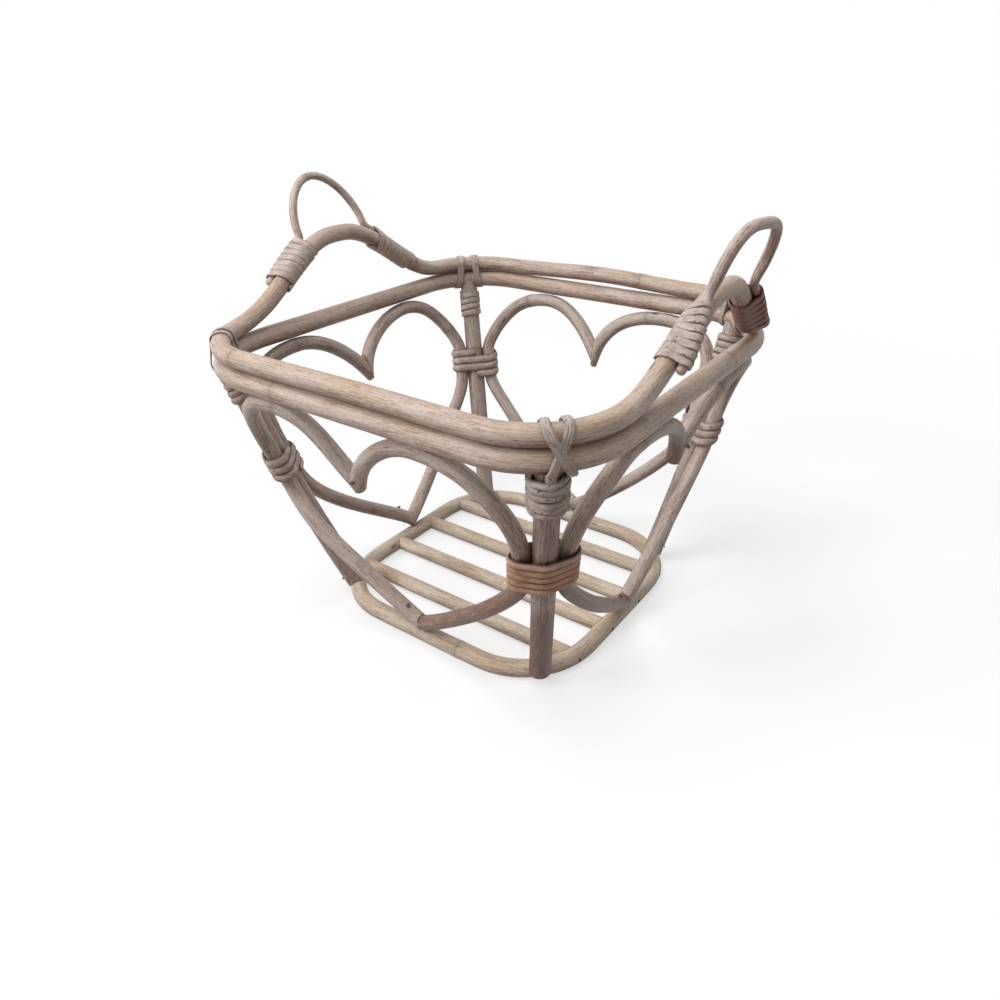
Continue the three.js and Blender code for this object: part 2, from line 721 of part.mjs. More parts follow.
// One unbroken flat strip through its stations, with straight ends. Each flat is split
// along the diagonal that stands further out, so that it clears the cane inside.
function stripGeometry(stations, width, thickness) {
  const frames = stripFrames(stations);
  const straightEnd = (frame, length) => ({
    ...frame, point: frame.point.clone().addScaledVector(frame.along, length),
  });
  const all = [
    straightEnd(frames[0], -thickness),
    ...frames,
    straightEnd(frames[frames.length - 1], thickness),
  ];
  const corners = [[1, 1], [-1, 1], [-1, -1], [1, -1]];
  const positions = [];
  for (const { point, across, out } of all) {
    for (const [side, face] of corners) {
      const vertex = point.clone()
        .addScaledVector(across, side * width / 2)
        .addScaledVector(out, face * thickness / 2);
      positions.push(vertex.x, vertex.y, vertex.z);
    }
  }
  const index = [];
  const count = corners.length;
  const vertexAt = (i) => new THREE.Vector3().fromArray(positions, 3 * i);
  for (let i = 0; i < all.length - 1; i += 1) {
    for (let k = 0; k < count; k += 1) {
      const a = i * count + k;
      const b = i * count + (k + 1) % count;
      const first = vertexAt(b).add(vertexAt(a + count));
      const second = vertexAt(a).add(vertexAt(b + count));
      if (first.sub(second).dot(all[i].out) > 0) {
        index.push(a, b, a + count, b, b + count, a + count);
      } else {
        index.push(a, b, b + count, a, b + count, a + count);
      }
    }
  }
  const end = (all.length - 1) * count;
  index.push(0, 2, 1, 0, 3, 2, end, end + 1, end + 2, end, end + 2, end + 3);
  const geometry = new THREE.BufferGeometry();
  geometry.setAttribute('position', new THREE.Float32BufferAttribute(positions, 3));
  geometry.setIndex(index);
  return geometry;
}

// Least distance between surface points of stretches of a strip that aren't neighbours
function leastGap(stations, width, thickness) {
  const frames = stripFrames(stations);
  const samples = [];
  let travelled = 0;
  for (let i = 0; i < frames.length - 1; i += 1) {
    const from = frames[i];
    const to = frames[i + 1];
    const length = from.point.distanceTo(to.point);
    const parts = Math.max(1, Math.ceil(length / 2));
    for (let part = 0; part < parts; part += 1) {
      const share = part / parts;
      for (const side of [-1, -0.5, 0, 0.5, 1]) {
        for (const face of [-1, 1]) {
          const place = (frame) => frame.point.clone()
            .addScaledVector(frame.across, side * width / 2)
            .addScaledVector(frame.out, face * thickness / 2);
          samples.push({ travelled: travelled + share * length, point: place(from).lerp(place(to), share) });
        }
      }
    }
    travelled += length;
  }
  let least = Infinity;
  for (let i = 0; i < samples.length; i += 1) {
    for (let j = i + 1; j < samples.length; j += 1) {
      if (samples[j].travelled - samples[i].travelled > 3 * width) {
        least = Math.min(least, samples[i].point.distanceToSquared(samples[j].point));
      }
    }
  }
  return Math.sqrt(least);
}

function winding(name, stations, width, thickness) {
  const gap = leastGap(stations, width, thickness);
  console.log(`${name}: least gap between its turns ${gap.toFixed(2)} mm`);
  return stripGeometry(stations, width, thickness);
}

// Peel colours, cane colours and the nails' steel, as they look on the basket
const FINISHES = {
  ring_cane: { color: '#c0ad90', roughness: 0.62, metalness: 0 },
  rim_cane: { color: '#b5a290', roughness: 0.6, metalness: 0 },
  post_cane: { color: '#a8988c', roughness: 0.65, metalness: 0 },
  heart_cane: { color: '#aa9b90', roughness: 0.62, metalness: 0 },
  handle_cane: { color: '#b09a8a', roughness: 0.58, metalness: 0 },
  grey_peel: { color: '#a3968f', roughness: 0.7, metalness: 0 },
  pink_peel: { color: '#a07d6b', roughness: 0.6, metalness: 0 },
  nail_steel: { color: '#3a332e', roughness: 0.5, metalness: 0.8 },
};

const basket = new THREE.Group();

function addPiece(name, geometry, finish) {
  const mesh = new THREE.Mesh(geometry, new THREE.MeshStandardMaterial(FINISHES[finish]));
  mesh.name = name;
  basket.add(mesh);
}

// Nails: where each starts, its direction and its length
function nailHoles(nail) {
  const reach = nail.length + CLEARANCE * 2;
  const radius = (NAIL_SHANK_DIAMETER / 2 + CLEARANCE) / Math.cos(Math.PI / NAIL_SIDES);
  const from = nail.start.clone().addScaledVector(nail.direction, -2);
  return bar(from, nail.start.clone().addScaledVector(nail.direction, reach), radius, NAIL_SIDES);
}

function nailGeometry(nail) {
  const head = NAIL_HEAD_DIAMETER / 2;
  const shank = NAIL_SHANK_DIAMETER / 2;
  const profile = [
    new THREE.Vector2(0, -nail.length),
    new THREE.Vector2(shank, -nail.length + NAIL_POINT_LENGTH),
    new THREE.Vector2(shank, 0),
    new THREE.Vector2(head, 0),
    new THREE.Vector2(head, NAIL_HEAD_THICKNESS),
    new THREE.Vector2(0, NAIL_HEAD_THICKNESS),
  ];
  const geometry = new THREE.LatheGeometry(profile, NAIL_SIDES);
  geometry.applyQuaternion(new THREE.Quaternion().setFromUnitVectors(
    new THREE.Vector3(0, -1, 0), nail.direction));
  return geometry.translate(nail.start.x, nail.start.y, nail.start.z);
}

// X of the ring's centre line at a distance along Y
function ringAcross(y) {
  const intoCorner = Math.max(0, Math.abs(y) - (RING_HALF_WIDTH - RING_CORNER_RADIUS));
  return RING_HALF_LENGTH - RING_CORNER_RADIUS + Math.sqrt(RING_CORNER_RADIUS ** 2 - intoCorner ** 2);
}

function slatPlace(index) {
  return (index - (SLAT_COUNT - 1) / 2) * SLAT_PITCH;
}

function slatNails(index) {
  const y = slatPlace(index);
  return [-1, 1].map((end) => ({
    start: new THREE.Vector3(end * (ringAcross(y) + RING_RADIUS + NAIL_HEAD_GAP), y, RING_HEIGHT),
    direction: new THREE.Vector3(-end, 0, 0),
    length: SLAT_NAIL_LENGTH,
  }));
}

// A nail driven at a point of a cane's surface; its head stands clear of a slanting face
function nailInto(entry, normal, direction, length) {
  const slant = Math.acos(-direction.dot(normal));
  const stand = NAIL_HEAD_DIAMETER / 2 * Math.tan(slant) + NAIL_HEAD_GAP;
  return { start: entry.clone().addScaledVector(direction, -stand), direction, length };
}

// The nail in a post's foot, slanting into the ring
function footNail(name) {
  const outward = cornerOutward(CORNERS[name]);
  const lapped = name === LAPPED_CORNER;
  const height = RING_HEIGHT + TOE_NAIL_RISE;
  const lean = postPoint(name, height + 1).sub(postPoint(name, height - 1)).normalize();
  const normal = outward.clone().addScaledVector(lean, -outward.dot(lean)).normalize();
  const entry = postPoint(name, height).addScaledVector(normal, POST_RADIUS);
  const direction = cornerPoint(name, RING_HEIGHT).sub(entry).normalize();
  return nailInto(entry, normal, direction, lapped ? LAP_NAIL_LENGTH : TOE_NAIL_LENGTH);
}

// The nail through a heart cane's tip into the ring below, at a distance from the middle
function tipNail(sideName, end, points) {
  const side = SIDES[sideName];
  const along = (point) => end * (side.long ? point.x : point.y);
  const index = points.findLastIndex((point) => along(point) > TIP_NAIL_PLACE);
  const upper = points[index];
  const lower = points[index + 1];
  const share = (along(upper) - TIP_NAIL_PLACE) / (along(upper) - along(lower));
  const middle = upper.clone().lerp(lower, share);
  const place = side.long ? middle.x : middle.y;
  const direction = wallPoint(side, place, RING_HEIGHT).sub(middle).normalize();
  const run = upper.clone().sub(lower).normalize();
  const normal = direction.clone().addScaledVector(run, -direction.dot(run)).normalize().negate();
  const entry = middle.clone().addScaledVector(direction, -HEART_RADIUS / -direction.dot(normal));
  return nailInto(entry, normal, direction, TIP_NAIL_LENGTH);
}

// The nail that joins the two canes at a cusp: driven in from outside, slanting from one
// cane into the other
function cuspNail(sideName, points) {
  const side = SIDES[sideName];
  const along = side.long ? new THREE.Vector3(1, 0, 0) : new THREE.Vector3(0, 1, 0);
  const outward = side.long ? new THREE.Vector3(0, side.facing, 0) : new THREE.Vector3(side.facing, 0, 0);
  const run = points[2].clone().sub(points[1]).normalize();
  const normal = outward.addScaledVector(run, -outward.dot(run)).normalize();
  const middle = points[1].clone().addScaledVector(run, CUSP_NAIL_PLACE / run.dot(along));
  const entry = middle.addScaledVector(normal, HEART_RADIUS);
  const direction = normal.clone().add(along).normalize().negate();
  return nailInto(entry, normal, direction, CUSP_NAIL_LENGTH);
}

// Canes grown by the clearance, to cut the seats of the canes that rest on them
const ringSeat = cane(baseRingPoints(), RING_RADIUS + CLEARANCE, RIM_SIDES);
const lowerRimSeat = cane(lowerRimPoints(), LOWER_RIM_RADIUS + CLEARANCE, RIM_SIDES);

const HEART_CORNERS = {
  front: ['front_left', 'front_right'],
  back: ['back_left', 'back_right'],
  left: ['front_left', 'back_left'],
  right: ['front_right', 'back_right'],
};
const HEART_ENDS = {
  front: ['left', 'right'],
  back: ['left', 'right'],
  left: ['front', 'back'],
  right: ['front', 'back'],
};

const heartRoutes = {};
for (const sideName of Object.keys(SIDES)) {
  heartRoutes[sideName] = [-1, 1].map((end, index) => (
    heartPoints(sideName, end, HEART_CORNERS[sideName][index])));
}

const slatNailPairs = Array.from({ length: SLAT_COUNT }, (_, index) => slatNails(index));
const footNails = {};
const tipNails = {};
const cuspNails = {};
for (const name of Object.keys(CORNERS)) {
  footNails[name] = footNail(name);
}
for (const [name, [first, second]] of Object.entries(heartRoutes)) {
  tipNails[name] = tipNail(name, -1, first);
  cuspNails[name] = cuspNail(name, second);
}

// Base ring and slats
const ringNails = [...slatNailPairs.flat(), ...Object.values(footNails), ...Object.values(tipNails)];
addPiece('base_ring', cutAway(scarfedRing(baseRingPoints(), RING_RADIUS),
  [blockBelow(0), ...ringNails.map(nailHoles)]), 'ring_cane');

for (let index = 0; index < SLAT_COUNT; index += 1) {
  const y = slatPlace(index);
  const reach = ringAcross(y);
  const slat = bar(new THREE.Vector3(-reach, y, RING_HEIGHT), new THREE.Vector3(reach, y, RING_HEIGHT),
    SLAT_DIAMETER / 2, RIM_SIDES);
  addPiece(`base_slat_${index + 1}`, cutAway(slat, [ringSeat, ...slatNailPairs[index].map(nailHoles)]),
    'ring_cane');
}

// Corner posts
for (const name of Object.keys(CORNERS)) {
  const lapped = name === LAPPED_CORNER;
  const foot = lapped ? -POST_RADIUS : RING_HEIGHT + POST_LIP;
  const steps = POST_BOWS[name] ? POST_BOW_STEPS : 1;
  const path = Array.from({ length: steps + 1 }, (_, i) => (
    postPoint(name, THREE.MathUtils.lerp(foot, LOWER_RIM_HEIGHT - POST_LIP, i / steps))));
  const cutters = [ringSeat, lowerRimSeat, nailHoles(footNails[name])];
  if (lapped) {
    cutters.push(blockBelow(LAP_FLOOR_GAP), blockInsideRing(name));
  }
  addPiece(`corner_post_${name}`, cutAway(cane(path, POST_RADIUS, POST_SIDES), cutters), 'post_cane');
}

// Rims
addPiece('lower_rim', scarfedRing(lowerRimPoints(), LOWER_RIM_RADIUS), 'rim_cane');
addPiece('upper_rim', scarfedRing(upperRimPoints(), UPPER_RIM_RADIUS), 'rim_cane');

// Heart canes
for (const [sideName, side] of Object.entries(SIDES)) {
  const { place, height } = CUSPS[sideName];
  const level = (height + TIP_HEIGHT) / 2;
  [-1, 1].forEach((end, index) => {
    const cutters = [blockBeyond(side, end, place, level, true), blockBeyond(side, end, 0, level, false),
      ringSeat, nailHoles(cuspNails[sideName])];
    if (index === 0) {
      cutters.push(nailHoles(tipNails[sideName]));
    }
    addPiece(`heart_${sideName}_cane_${HEART_ENDS[sideName][index]}`,
      cutAway(cane(heartRoutes[sideName][index], HEART_RADIUS, HEART_SIDES), cutters), 'heart_cane');
  });
}

// Handle loops
for (const sideName of Object.keys(HANDLES)) {
  const loop = cane(handlePoints(sideName), HANDLE_RADIUS, HANDLE_SIDES);
  addPiece(`handle_loop_${sideName}`, loop, 'handle_cane');
}

// Frame of a winding round a post between two heights; angle zero faces outwards
function postFrame(name, top, foot) {
  const from = postPoint(name, top);
  const to = postPoint(name, foot);
  const direction = to.clone().sub(from).normalize();
  const zero = cornerOutward(CORNERS[name]);
  zero.addScaledVector(direction, -zero.dot(direction)).normalize();
  return (share) => ({ point: from.clone().lerp(to, share), direction, zero });
}

// Corner bands
for (const [name, { height, turns }] of Object.entries(BANDS)) {
  const bandTop = height + BAND_HALF_HEIGHT;
  const bandFoot = height - BAND_HALF_HEIGHT;
  const frameAt = postFrame(name, bandTop, bandFoot);
  const { point, direction, zero } = frameAt(0.5);
  const quarter = direction.clone().cross(zero);
  const seats = Object.entries(HEART_CORNERS).filter(([, corners]) => corners.includes(name));
  const circles = [{ centre: new THREE.Vector2(0, 0), radius: POST_RADIUS }];
  for (const [sideName, corners] of seats) {
    const end = corners.indexOf(name) === 0 ? -1 : 1;
    const side = SIDES[sideName];
    const caneAt = (level) => wallPoint(side, end * besidePost(side, name, level, CLEARANCE), level);
    const top = caneAt(bandTop);
    const foot = caneAt(bandFoot);
    const share = point.clone().sub(foot).dot(direction) / top.clone().sub(foot).dot(direction);
    const offset = foot.clone().lerp(top, share).sub(point);
    const centre = new THREE.Vector2(offset.dot(zero), offset.dot(quarter));
    circles.push({ centre, radius: HEART_RADIUS });
  }
  const length = postPoint(name, bandTop).distanceTo(postPoint(name, bandFoot));
  const pitch = length / (turns + 1);
  const inset = (share) => (0.5 + share * turns) * pitch / length;
  const grown = grownCircles(circles, BAND_THICKNESS);
  const stations = windingStations(grown, (share) => frameAt(inset(share)), turns, Math.PI);
  const pieceName = `corner_band_${name}`;
  addPiece(pieceName, winding(pieceName, stations, pitch - TURN_GAP, BAND_THICKNESS),
    name === LAPPED_CORNER ? 'pink_peel' : 'grey_peel');
}

// Wraps round the post tops, just below the rim ties
for (const [name, turns] of Object.entries(POST_WRAP_TURNS)) {
  const length = POST_WRAP_LENGTHS[name];
  const pitch = length / turns;
  const width = pitch - TURN_GAP;
  const top = LOWER_RIM_HEIGHT - LOWER_RIM_RADIUS - TIE_THICKNESS - POST_WRAP_GAP - width / 2;
  const frameAt = postFrame(name, top, top - length);
  const post = { centre: new THREE.Vector2(0, 0), radius: POST_RADIUS };
  const circles = grownCircles([post], POST_WRAP_THICKNESS);
  const stations = windingStations(circles, frameAt, turns, Math.PI / 2);
  const pieceName = `post_wrap_${name}`;
  addPiece(pieceName, winding(pieceName, stations, width, POST_WRAP_THICKNESS), 'grey_peel');
}

// Rim ties. The strand runs round both rims twice and changes sides on the outside, and
// the second crossing passes over the first.
for (const [name, corner] of Object.entries(CORNERS)) {
  const outward = cornerOutward(corner);
  const along = UP.clone().cross(outward);
  const bendRadius = RIM_CORNER_RADII[name];
  const centre = cornerPoint(name, LOWER_RIM_HEIGHT).addScaledVector(outward, -bendRadius);
  const circles = grownCircles([
    { centre: new THREE.Vector2(0, 0), radius: LOWER_RIM_RADIUS + bendRadius * RIM_FLAT_SHARE },
    {
      centre: new THREE.Vector2(0, UPPER_RIM_HEIGHT - LOWER_RIM_HEIGHT),
      radius: UPPER_RIM_RADIUS + bendRadius * RIM_FLAT_SHARE,
    },
  ], TIE_THICKNESS);
  const crossing = Math.PI / 3;
  const start = -crossing;
  const finish = 3.5 * Math.PI;
  const lift = TIE_THICKNESS + TURN_GAP;
  const footShift = corner.x * corner.y * POST_SWAYS[name];
  const topShift = name === FOLLOWED_CORNER ? footShift : 0;
  const low = outlinePoint(circles, -crossing).point.y;
  const high = outlinePoint(circles, crossing).point.y;
  const stations = windingAngles(circles, start, finish).map((angle) => {
    const outline = outlinePoint(circles, angle);
    const height = outline.point.y;
    const share = THREE.MathUtils.clamp((height - low) / (high - low), 0, 1);
    const crossingNow = Math.cos(angle) > Math.cos(crossing) - 1e-9;
    const second = angle > Math.PI;
    const half = angle > 2 * Math.PI ? -1 : 1;
    const topHalf = crossingNow && second ? -1 : half;
    const footHalf = crossingNow ? -topHalf : half;
    const spread = THREE.MathUtils.lerp(
      footHalf * TIE_FOOT_SPREAD + footShift, topHalf * TIE_TOP_SPREAD + topShift, share);
    const nearEnd = Math.min(share, 1 - share);
    const over = crossingNow && second ? lift * THREE.MathUtils.smoothstep(nearEnd, 0, 0.25) : 0;
    const bend = spread / bendRadius;
    const radial = outward.clone().multiplyScalar(Math.cos(bend)).addScaledVector(along, Math.sin(bend));
    const point = centre.clone()
      .addScaledVector(radial, bendRadius + outline.point.x + over)
      .addScaledVector(UP, height);
    const out = radial.clone().multiplyScalar(outline.facing.x).addScaledVector(UP, outline.facing.y);
    return { point, out };
  });
  const pieceName = `rim_tie_${name}`;
  addPiece(pieceName, winding(pieceName, stations, TIE_WIDTH, TIE_THICKNESS), 'grey_peel');
}

// Handle wraps
for (const [sideName, { legs }] of Object.entries(HANDLES)) {
  for (const [legName, { top, end, turns }] of Object.entries(legs)) {
    const places = Array.from({ length: 9 }, (_, i) => (
      LEG_ENDS[legName] * THREE.MathUtils.lerp(top + HANDLE_WRAP_SETBACK, end, i / 8)));
    const axis = new THREE.CatmullRomCurve3(places.map((y) => humpPoint(sideName, y)));
    const pitch = axis.getLength() / turns;
    const frameAt = (share) => {
      const point = axis.getPointAt(share);
      const direction = axis.getTangentAt(share);
      const zero = seatDirection(sideName, legName, point.y);
      zero.addScaledVector(direction, -zero.dot(direction)).normalize();
      return { point, direction, zero };
    };
    const circles = grownCircles([
      { centre: new THREE.Vector2(0, 0), radius: UPPER_RIM_RADIUS },
      { centre: new THREE.Vector2(HANDLE_SEAT, 0), radius: HANDLE_RADIUS },
    ], HANDLE_WRAP_THICKNESS + HANDLE_WRAP_EASE);
    const stations = windingStations(circles, frameAt, turns, Math.PI);
    const pieceName = `handle_wrap_${sideName}_${legName}`;
    const width = pitch - HANDLE_WRAP_GAP;
    addPiece(pieceName, winding(pieceName, stations, width, HANDLE_WRAP_THICKNESS), 'grey_peel');
  }
}

// Nails
slatNailPairs.forEach((pair, index) => {
  pair.forEach((nail, end) => {
    addPiece(`slat_nail_${index + 1}_${['left', 'right'][end]}`, nailGeometry(nail), 'nail_steel');
  });
});
for (const [name, nail] of Object.entries(footNails)) {
  addPiece(`foot_nail_${name}`, nailGeometry(nail), 'nail_steel');
}
for (const [name, nail] of Object.entries(tipNails)) {
  addPiece(`heart_tip_nail_${name}`, nailGeometry(nail), 'nail_steel');
}
for (const [name, nail] of Object.entries(cuspNails)) {
  addPiece(`heart_cusp_nail_${name}`, nailGeometry(nail), 'nail_steel');
}

export default basket;
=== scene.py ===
import math
import random

import bpy
import numpy as np
from mathutils import Matrix, Vector


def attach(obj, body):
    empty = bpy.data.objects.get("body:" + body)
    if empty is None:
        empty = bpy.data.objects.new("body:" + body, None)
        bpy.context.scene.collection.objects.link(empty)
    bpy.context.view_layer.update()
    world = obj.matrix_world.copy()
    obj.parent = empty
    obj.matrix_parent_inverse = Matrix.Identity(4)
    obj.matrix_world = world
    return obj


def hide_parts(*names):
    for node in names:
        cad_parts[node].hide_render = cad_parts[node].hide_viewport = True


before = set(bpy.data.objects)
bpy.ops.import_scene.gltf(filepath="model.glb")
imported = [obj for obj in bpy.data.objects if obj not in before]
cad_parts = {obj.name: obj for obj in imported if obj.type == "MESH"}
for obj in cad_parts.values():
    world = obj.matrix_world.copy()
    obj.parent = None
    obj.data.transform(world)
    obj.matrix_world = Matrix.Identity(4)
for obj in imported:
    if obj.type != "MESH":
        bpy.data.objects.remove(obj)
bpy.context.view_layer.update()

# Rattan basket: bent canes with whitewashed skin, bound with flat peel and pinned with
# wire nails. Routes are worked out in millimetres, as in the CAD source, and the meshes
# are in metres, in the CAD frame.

MM = 0.001
CLEARANCE = 0.3

# Base ring and slats
RING_HALF_LENGTH = 114
RING_HALF_WIDTH = 108
RING_CORNER = 60
RING_DIAMETER = 13.5
FLOOR_FLAT_DEPTH = 0.5
SLAT_DIAMETER = 12.2
SLAT_COUNT = 4
SLAT_PITCH = 44

# Rims
RIM_HALF_LENGTH = 168.5
RIM_HALF_WIDTH = 163.5
RIM_CORNERS = {"front_right": 58, "front_left": 72, "back_left": 58, "back_right": 76}
LOWER_RIM_HEIGHT = 219.5
LOWER_RIM_DIAMETER = 15.5
UPPER_RIM_DIAMETER = 14
RIM_BOWS = {"front": 0.6, "back": 3}
SCARF_LENGTH = 18
SCARF_FADE = 40
HUMPS = {
    "left": {"half": 118, "crest": (0, 10), "rise": 51},
    "right": {"half": 100, "crest": (4, 18), "rise": 47},
}
HUMP_LEAN = 0.17

# Handle loops
HANDLE_DIAMETER = 6.4
HANDLE_LEG_TAIL = 4
# Distances off the hump between which a loop comes free of its wrap
FREE_FROM = 1
FREE_TO = 12
HANDLES = {
    "left": {"rise": 46, "lean": 0.45, "squareness": 1.9, "swell": 0.04, "legs": {
        "front": {"top": 27, "end": 64, "seat": (40, 15)},
        "back": {"top": 36, "end": 81, "seat": (60, 20)}}},
    "right": {"rise": 43.5, "lean": 0.39, "squareness": 3.4, "swell": 0.18, "legs": {
        "front": {"top": 20, "end": 57, "seat": (65, -5)},
        "back": {"top": 42, "end": 79, "seat": (45, 10)}}},
}

# Corner posts
POST_DIAMETER = 16.5
LAP_OFFSET = 5
LAP_FLOOR_GAP = 7
POST_SWAYS = {"front_right": 4, "front_left": 0, "back_left": 0, "back_right": 16}
POST_BOWS = {"front_right": 0, "front_left": 3.5, "back_left": 0, "back_right": 4.5}
POST_LIP = 3

# Heart canes
HEART_DIAMETER = 12
TIP_TAIL = 6
CUSPS = {"front": (-11, 158, 5), "back": (-2, 165, 11), "left": (0, 165, 8), "right": (0, 165, 8)}
HEARTS = {
    "front": (
        {"apex": 78, "cusp": (23, 27), "arch": (44, 41), "above": 12, "below": 21, "tip": (21, 14)},
        {"apex": 56, "cusp": (13, 28), "arch": (19, 64), "above": 26, "below": 16, "tip": (26, 12)}),
    "back": (
        {"apex": 61, "cusp": (13, 18), "arch": (27, 54), "above": 5, "below": 22, "tip": (30, 12)},
        {"apex": 63, "cusp": (6, 24), "arch": (38, 60), "above": 27, "below": 22, "tip": (30, 12)}),
    "left": (
        {"apex": 65, "cusp": (12, 18), "arch": (29, 60), "above": 21, "below": 43, "tip": (18, 18)},
        {"apex": 65, "cusp": (6, 22), "arch": (29, 42), "above": 10, "below": 33, "tip": (23, 15)}),
    "right": (
        {"apex": 72, "cusp": (6, 24), "arch": (40, 58), "above": 8, "below": 22, "tip": (30, 12)},
        {"apex": 84, "cusp": (6, 22), "arch": (28, 44), "above": 25, "below": 10, "tip": (25, 14),
         "short": (0.3, 1)}),
}

# Worn stretches of single canes, from their start: more is browner, less is whiter
WEAR_FADE = 0.06
WORN = {
    "heart_front_cane_right": [(0.0, 0.14, -0.2), (0.56, 1.1, 0.75)],
    "heart_right_cane_front": [(-0.1, 0.13, 1.1), (0.2, 0.5, -0.15), (0.56, 1.1, 0.8)],
    "heart_front_cane_left": [(-0.1, 0.44, -0.3), (0.6, 1.1, -0.1)],
    "heart_left_cane_front": [(0.24, 0.48, 0.35)],
    "heart_back_cane_left": [(-0.1, 1.1, -0.1)],
    "heart_back_cane_right": [(-0.1, 1.1, -0.1)],
    "handle_loop_right": [(-0.1, 0.5, 0.12), (0.5, 1.1, 0.45)],
    "corner_post_front_right": [(-0.1, 0.42, 0.95), (0.44, 1.1, 0.1)],
    "corner_post_front_left": [(-0.1, 1.1, -0.15)],
    "corner_post_back_left": [(-0.1, 1.1, -0.25)],
    "corner_post_back_right": [(-0.1, 1.1, -0.15)],
}

# Bindings of peel
BAND_HALF_HEIGHT = 13
BAND_THICKNESS = 1.5
BAND_CROWN = 1.6
# Slope that makes a band's turns level on a leaning post, and how unevenly they lie
BAND_LEVEL = 0.3
BAND_SLIP = 0.3
BAND_LIFT = 0.25
BAND_TURN_GAP = 0.4
BANDS = {
    "front_right": (121, 4), "front_left": (132, 3), "back_left": (140, 3), "back_right": (129, 3)}
# How far the loose top turn of a corner band stands above the others
BAND_TOP_RISE = {"front_right": 9, "front_left": 0, "back_left": 1.5, "back_right": 0}
# Post wraps: the strip's thickness and dome, how uneven its turns lie, how far they hang on the
# outside, and how far the top one climbs there, past the rim
POST_WRAPS = {
    "front_right": {"length": 25, "turns": 6, "thickness": 1.6, "crown": 2.2,
                    "loose": 1.2, "droop": 1.6, "rise": 4.5},
    "front_left": {"length": 22, "turns": 4, "thickness": 1.4, "crown": 1.2,
                   "loose": 0.5, "droop": 1.6, "rise": 1.5},
    "back_left": {"length": 22, "turns": 4, "thickness": 1.0, "crown": 0.3,
                  "loose": 0.5, "droop": 0.4, "rise": 0},
    "back_right": {"length": 22, "turns": 4, "thickness": 1.4, "crown": 0.6,
                   "loose": 0.5, "droop": 0.6, "rise": 0},
}
POST_WRAP_START = -0.4 * math.pi
POST_WRAP_GAP = 1.2
POST_WRAP_TURN_GAP = 0.3
WRAP_ROOM = 3.0
WRAP_ROOM_START = 30
TURN_GAP = 0.6
# Rim ties: half the strands' spread on the upper rim, and how many round fibres lie side by side
TIES = {
    "front_right": {"width": 4.8, "thickness": 1.5, "spread": 6.2, "fibres": 3},
    "front_left": {"width": 3.4, "thickness": 0.8, "spread": 5, "fibres": 1},
    "back_left": {"width": 6.6, "thickness": 0.9, "spread": 7, "fibres": 1},
    "back_right": {"width": 5.2, "thickness": 0.9, "spread": 6, "fibres": 1},
}
TIE_CROWN = 0.35
TIE_CLEARANCE = 1.3
TIE_FOOT_SPREAD = 11.6
TIE_CROSSING = math.pi / 3
TIE_FINISH = 3.5 * math.pi
# The nearest tie's first strand starts in front of the post: how far along the rim, and its height
TIE_START_ASIDE = -0.5
TIE_START_HEIGHT = 204
TIE_START_SHARE = 0.7
# How far the second crossing is lifted over the first, against the strand's thickness
TIE_LIFT = 0.9
TIE_LIFT_SLOPE = 0.25
TIE_LEAD_STEPS = 5
FIBRE_RELIEF = 0.8
# Handle wraps: how uneven and how domed the turns are, and how far from the leg's meeting they start
HANDLE_WRAP_THICKNESS = 1.3
HANDLE_WRAP_OVERLAP = 0.15
HANDLE_WRAPS = {
    ("left", "front"): {"turns": 7, "loose": 0.2, "crown": 0.12, "setback": 3},
    ("left", "back"): {"turns": 8, "loose": 0.25, "crown": 0.3, "setback": 8},
    ("right", "front"): {"turns": 8, "loose": 0.15, "crown": 0.05, "setback": 3},
    ("right", "back"): {"turns": 6, "loose": 0.2, "crown": 0.1, "setback": 6},
}
PEEL_TAPER = 6
PEEL_END_WIDTH = 0.45
PEEL_BEVEL_SHARE = 0.3
# How uneven a strip's width and edges are: the wave along it, and the share of the width
PEEL_UNEVEN = (34, 0.07)
PEEL_FRAYED = (11, 0.12)
# Waves, as angles round the canes, in which turns slip and lift
SLIP_WAVE = 9.0
LIFT_WAVE = 5.0
# The direction, as a cosine, in which a drooping turn keeps its height
DROOP_LEVEL = 0.6
# Share of a post wrap's looseness that shows as slip along the post
WRAP_SLIP_SHARE = 0.7
# Where the nearest post wrap rides over the tie's start: cosines from the outside, and heights
WRAP_OVER_FACING = (0.75, 0.97)
WRAP_OVER_HEIGHTS = (202, 205)

# Nails: the shank, and the rings of the head as (rise above the last ring, width against it)
SHANK_RADIUS = 0.8
NAIL_RINGS = ((0, 2.0), (0.55, 1.06), (0.17, 0.86), (0.08, 0.45))
NAIL_POINT_WIDTH = 0.05
# Depth of a nail's neck below the crown that the solid has
NAIL_SINK = 1.7

# How gradually each cane takes its bends
RING_EASE = 6
HUMP_EASE = 4
HEART_EASE = 3
LOOP_EASE = 2.5
BAND_EASE = 2

# Growth joints: the place of the first, and the stretch between two
FIRST_JOINT = (60, 260)
JOINT_SPACING = (230, 420)
JOINT_REACH = 40

# How far from its end a cane may be cut to fit
SLAT_COPE = 22
HEART_COPE = 26
POST_COPE = 30
LAP_COPE = 46

# Stretches of the ring and the rim that a cane's end can meet
SLAT_REACH = 30
CORNER_REACH = 34
TIP_REACH = 45

# Skin of a cane: how far its grain can start from the next one's, in metres, the swelling and the
# groove at a growth joint as (share of the thickness, width), and how oval and uneven the cane is
GRAIN_SPREAD = 0.4
JOINT_SWELLING = (0.03, 4.0)
JOINT_GROOVE = (0.015, 1.5)
GROOVE_PLACE = 3.4
OVAL_SHARE = 0.008
OVAL_WAVE = 160
OVAL_TURN = 2.0
UNEVEN_SHARE = 0.012
UNEVEN_WAVE = 170
WEAR_SHARE = 0.16
WEAR_WAVE = 120

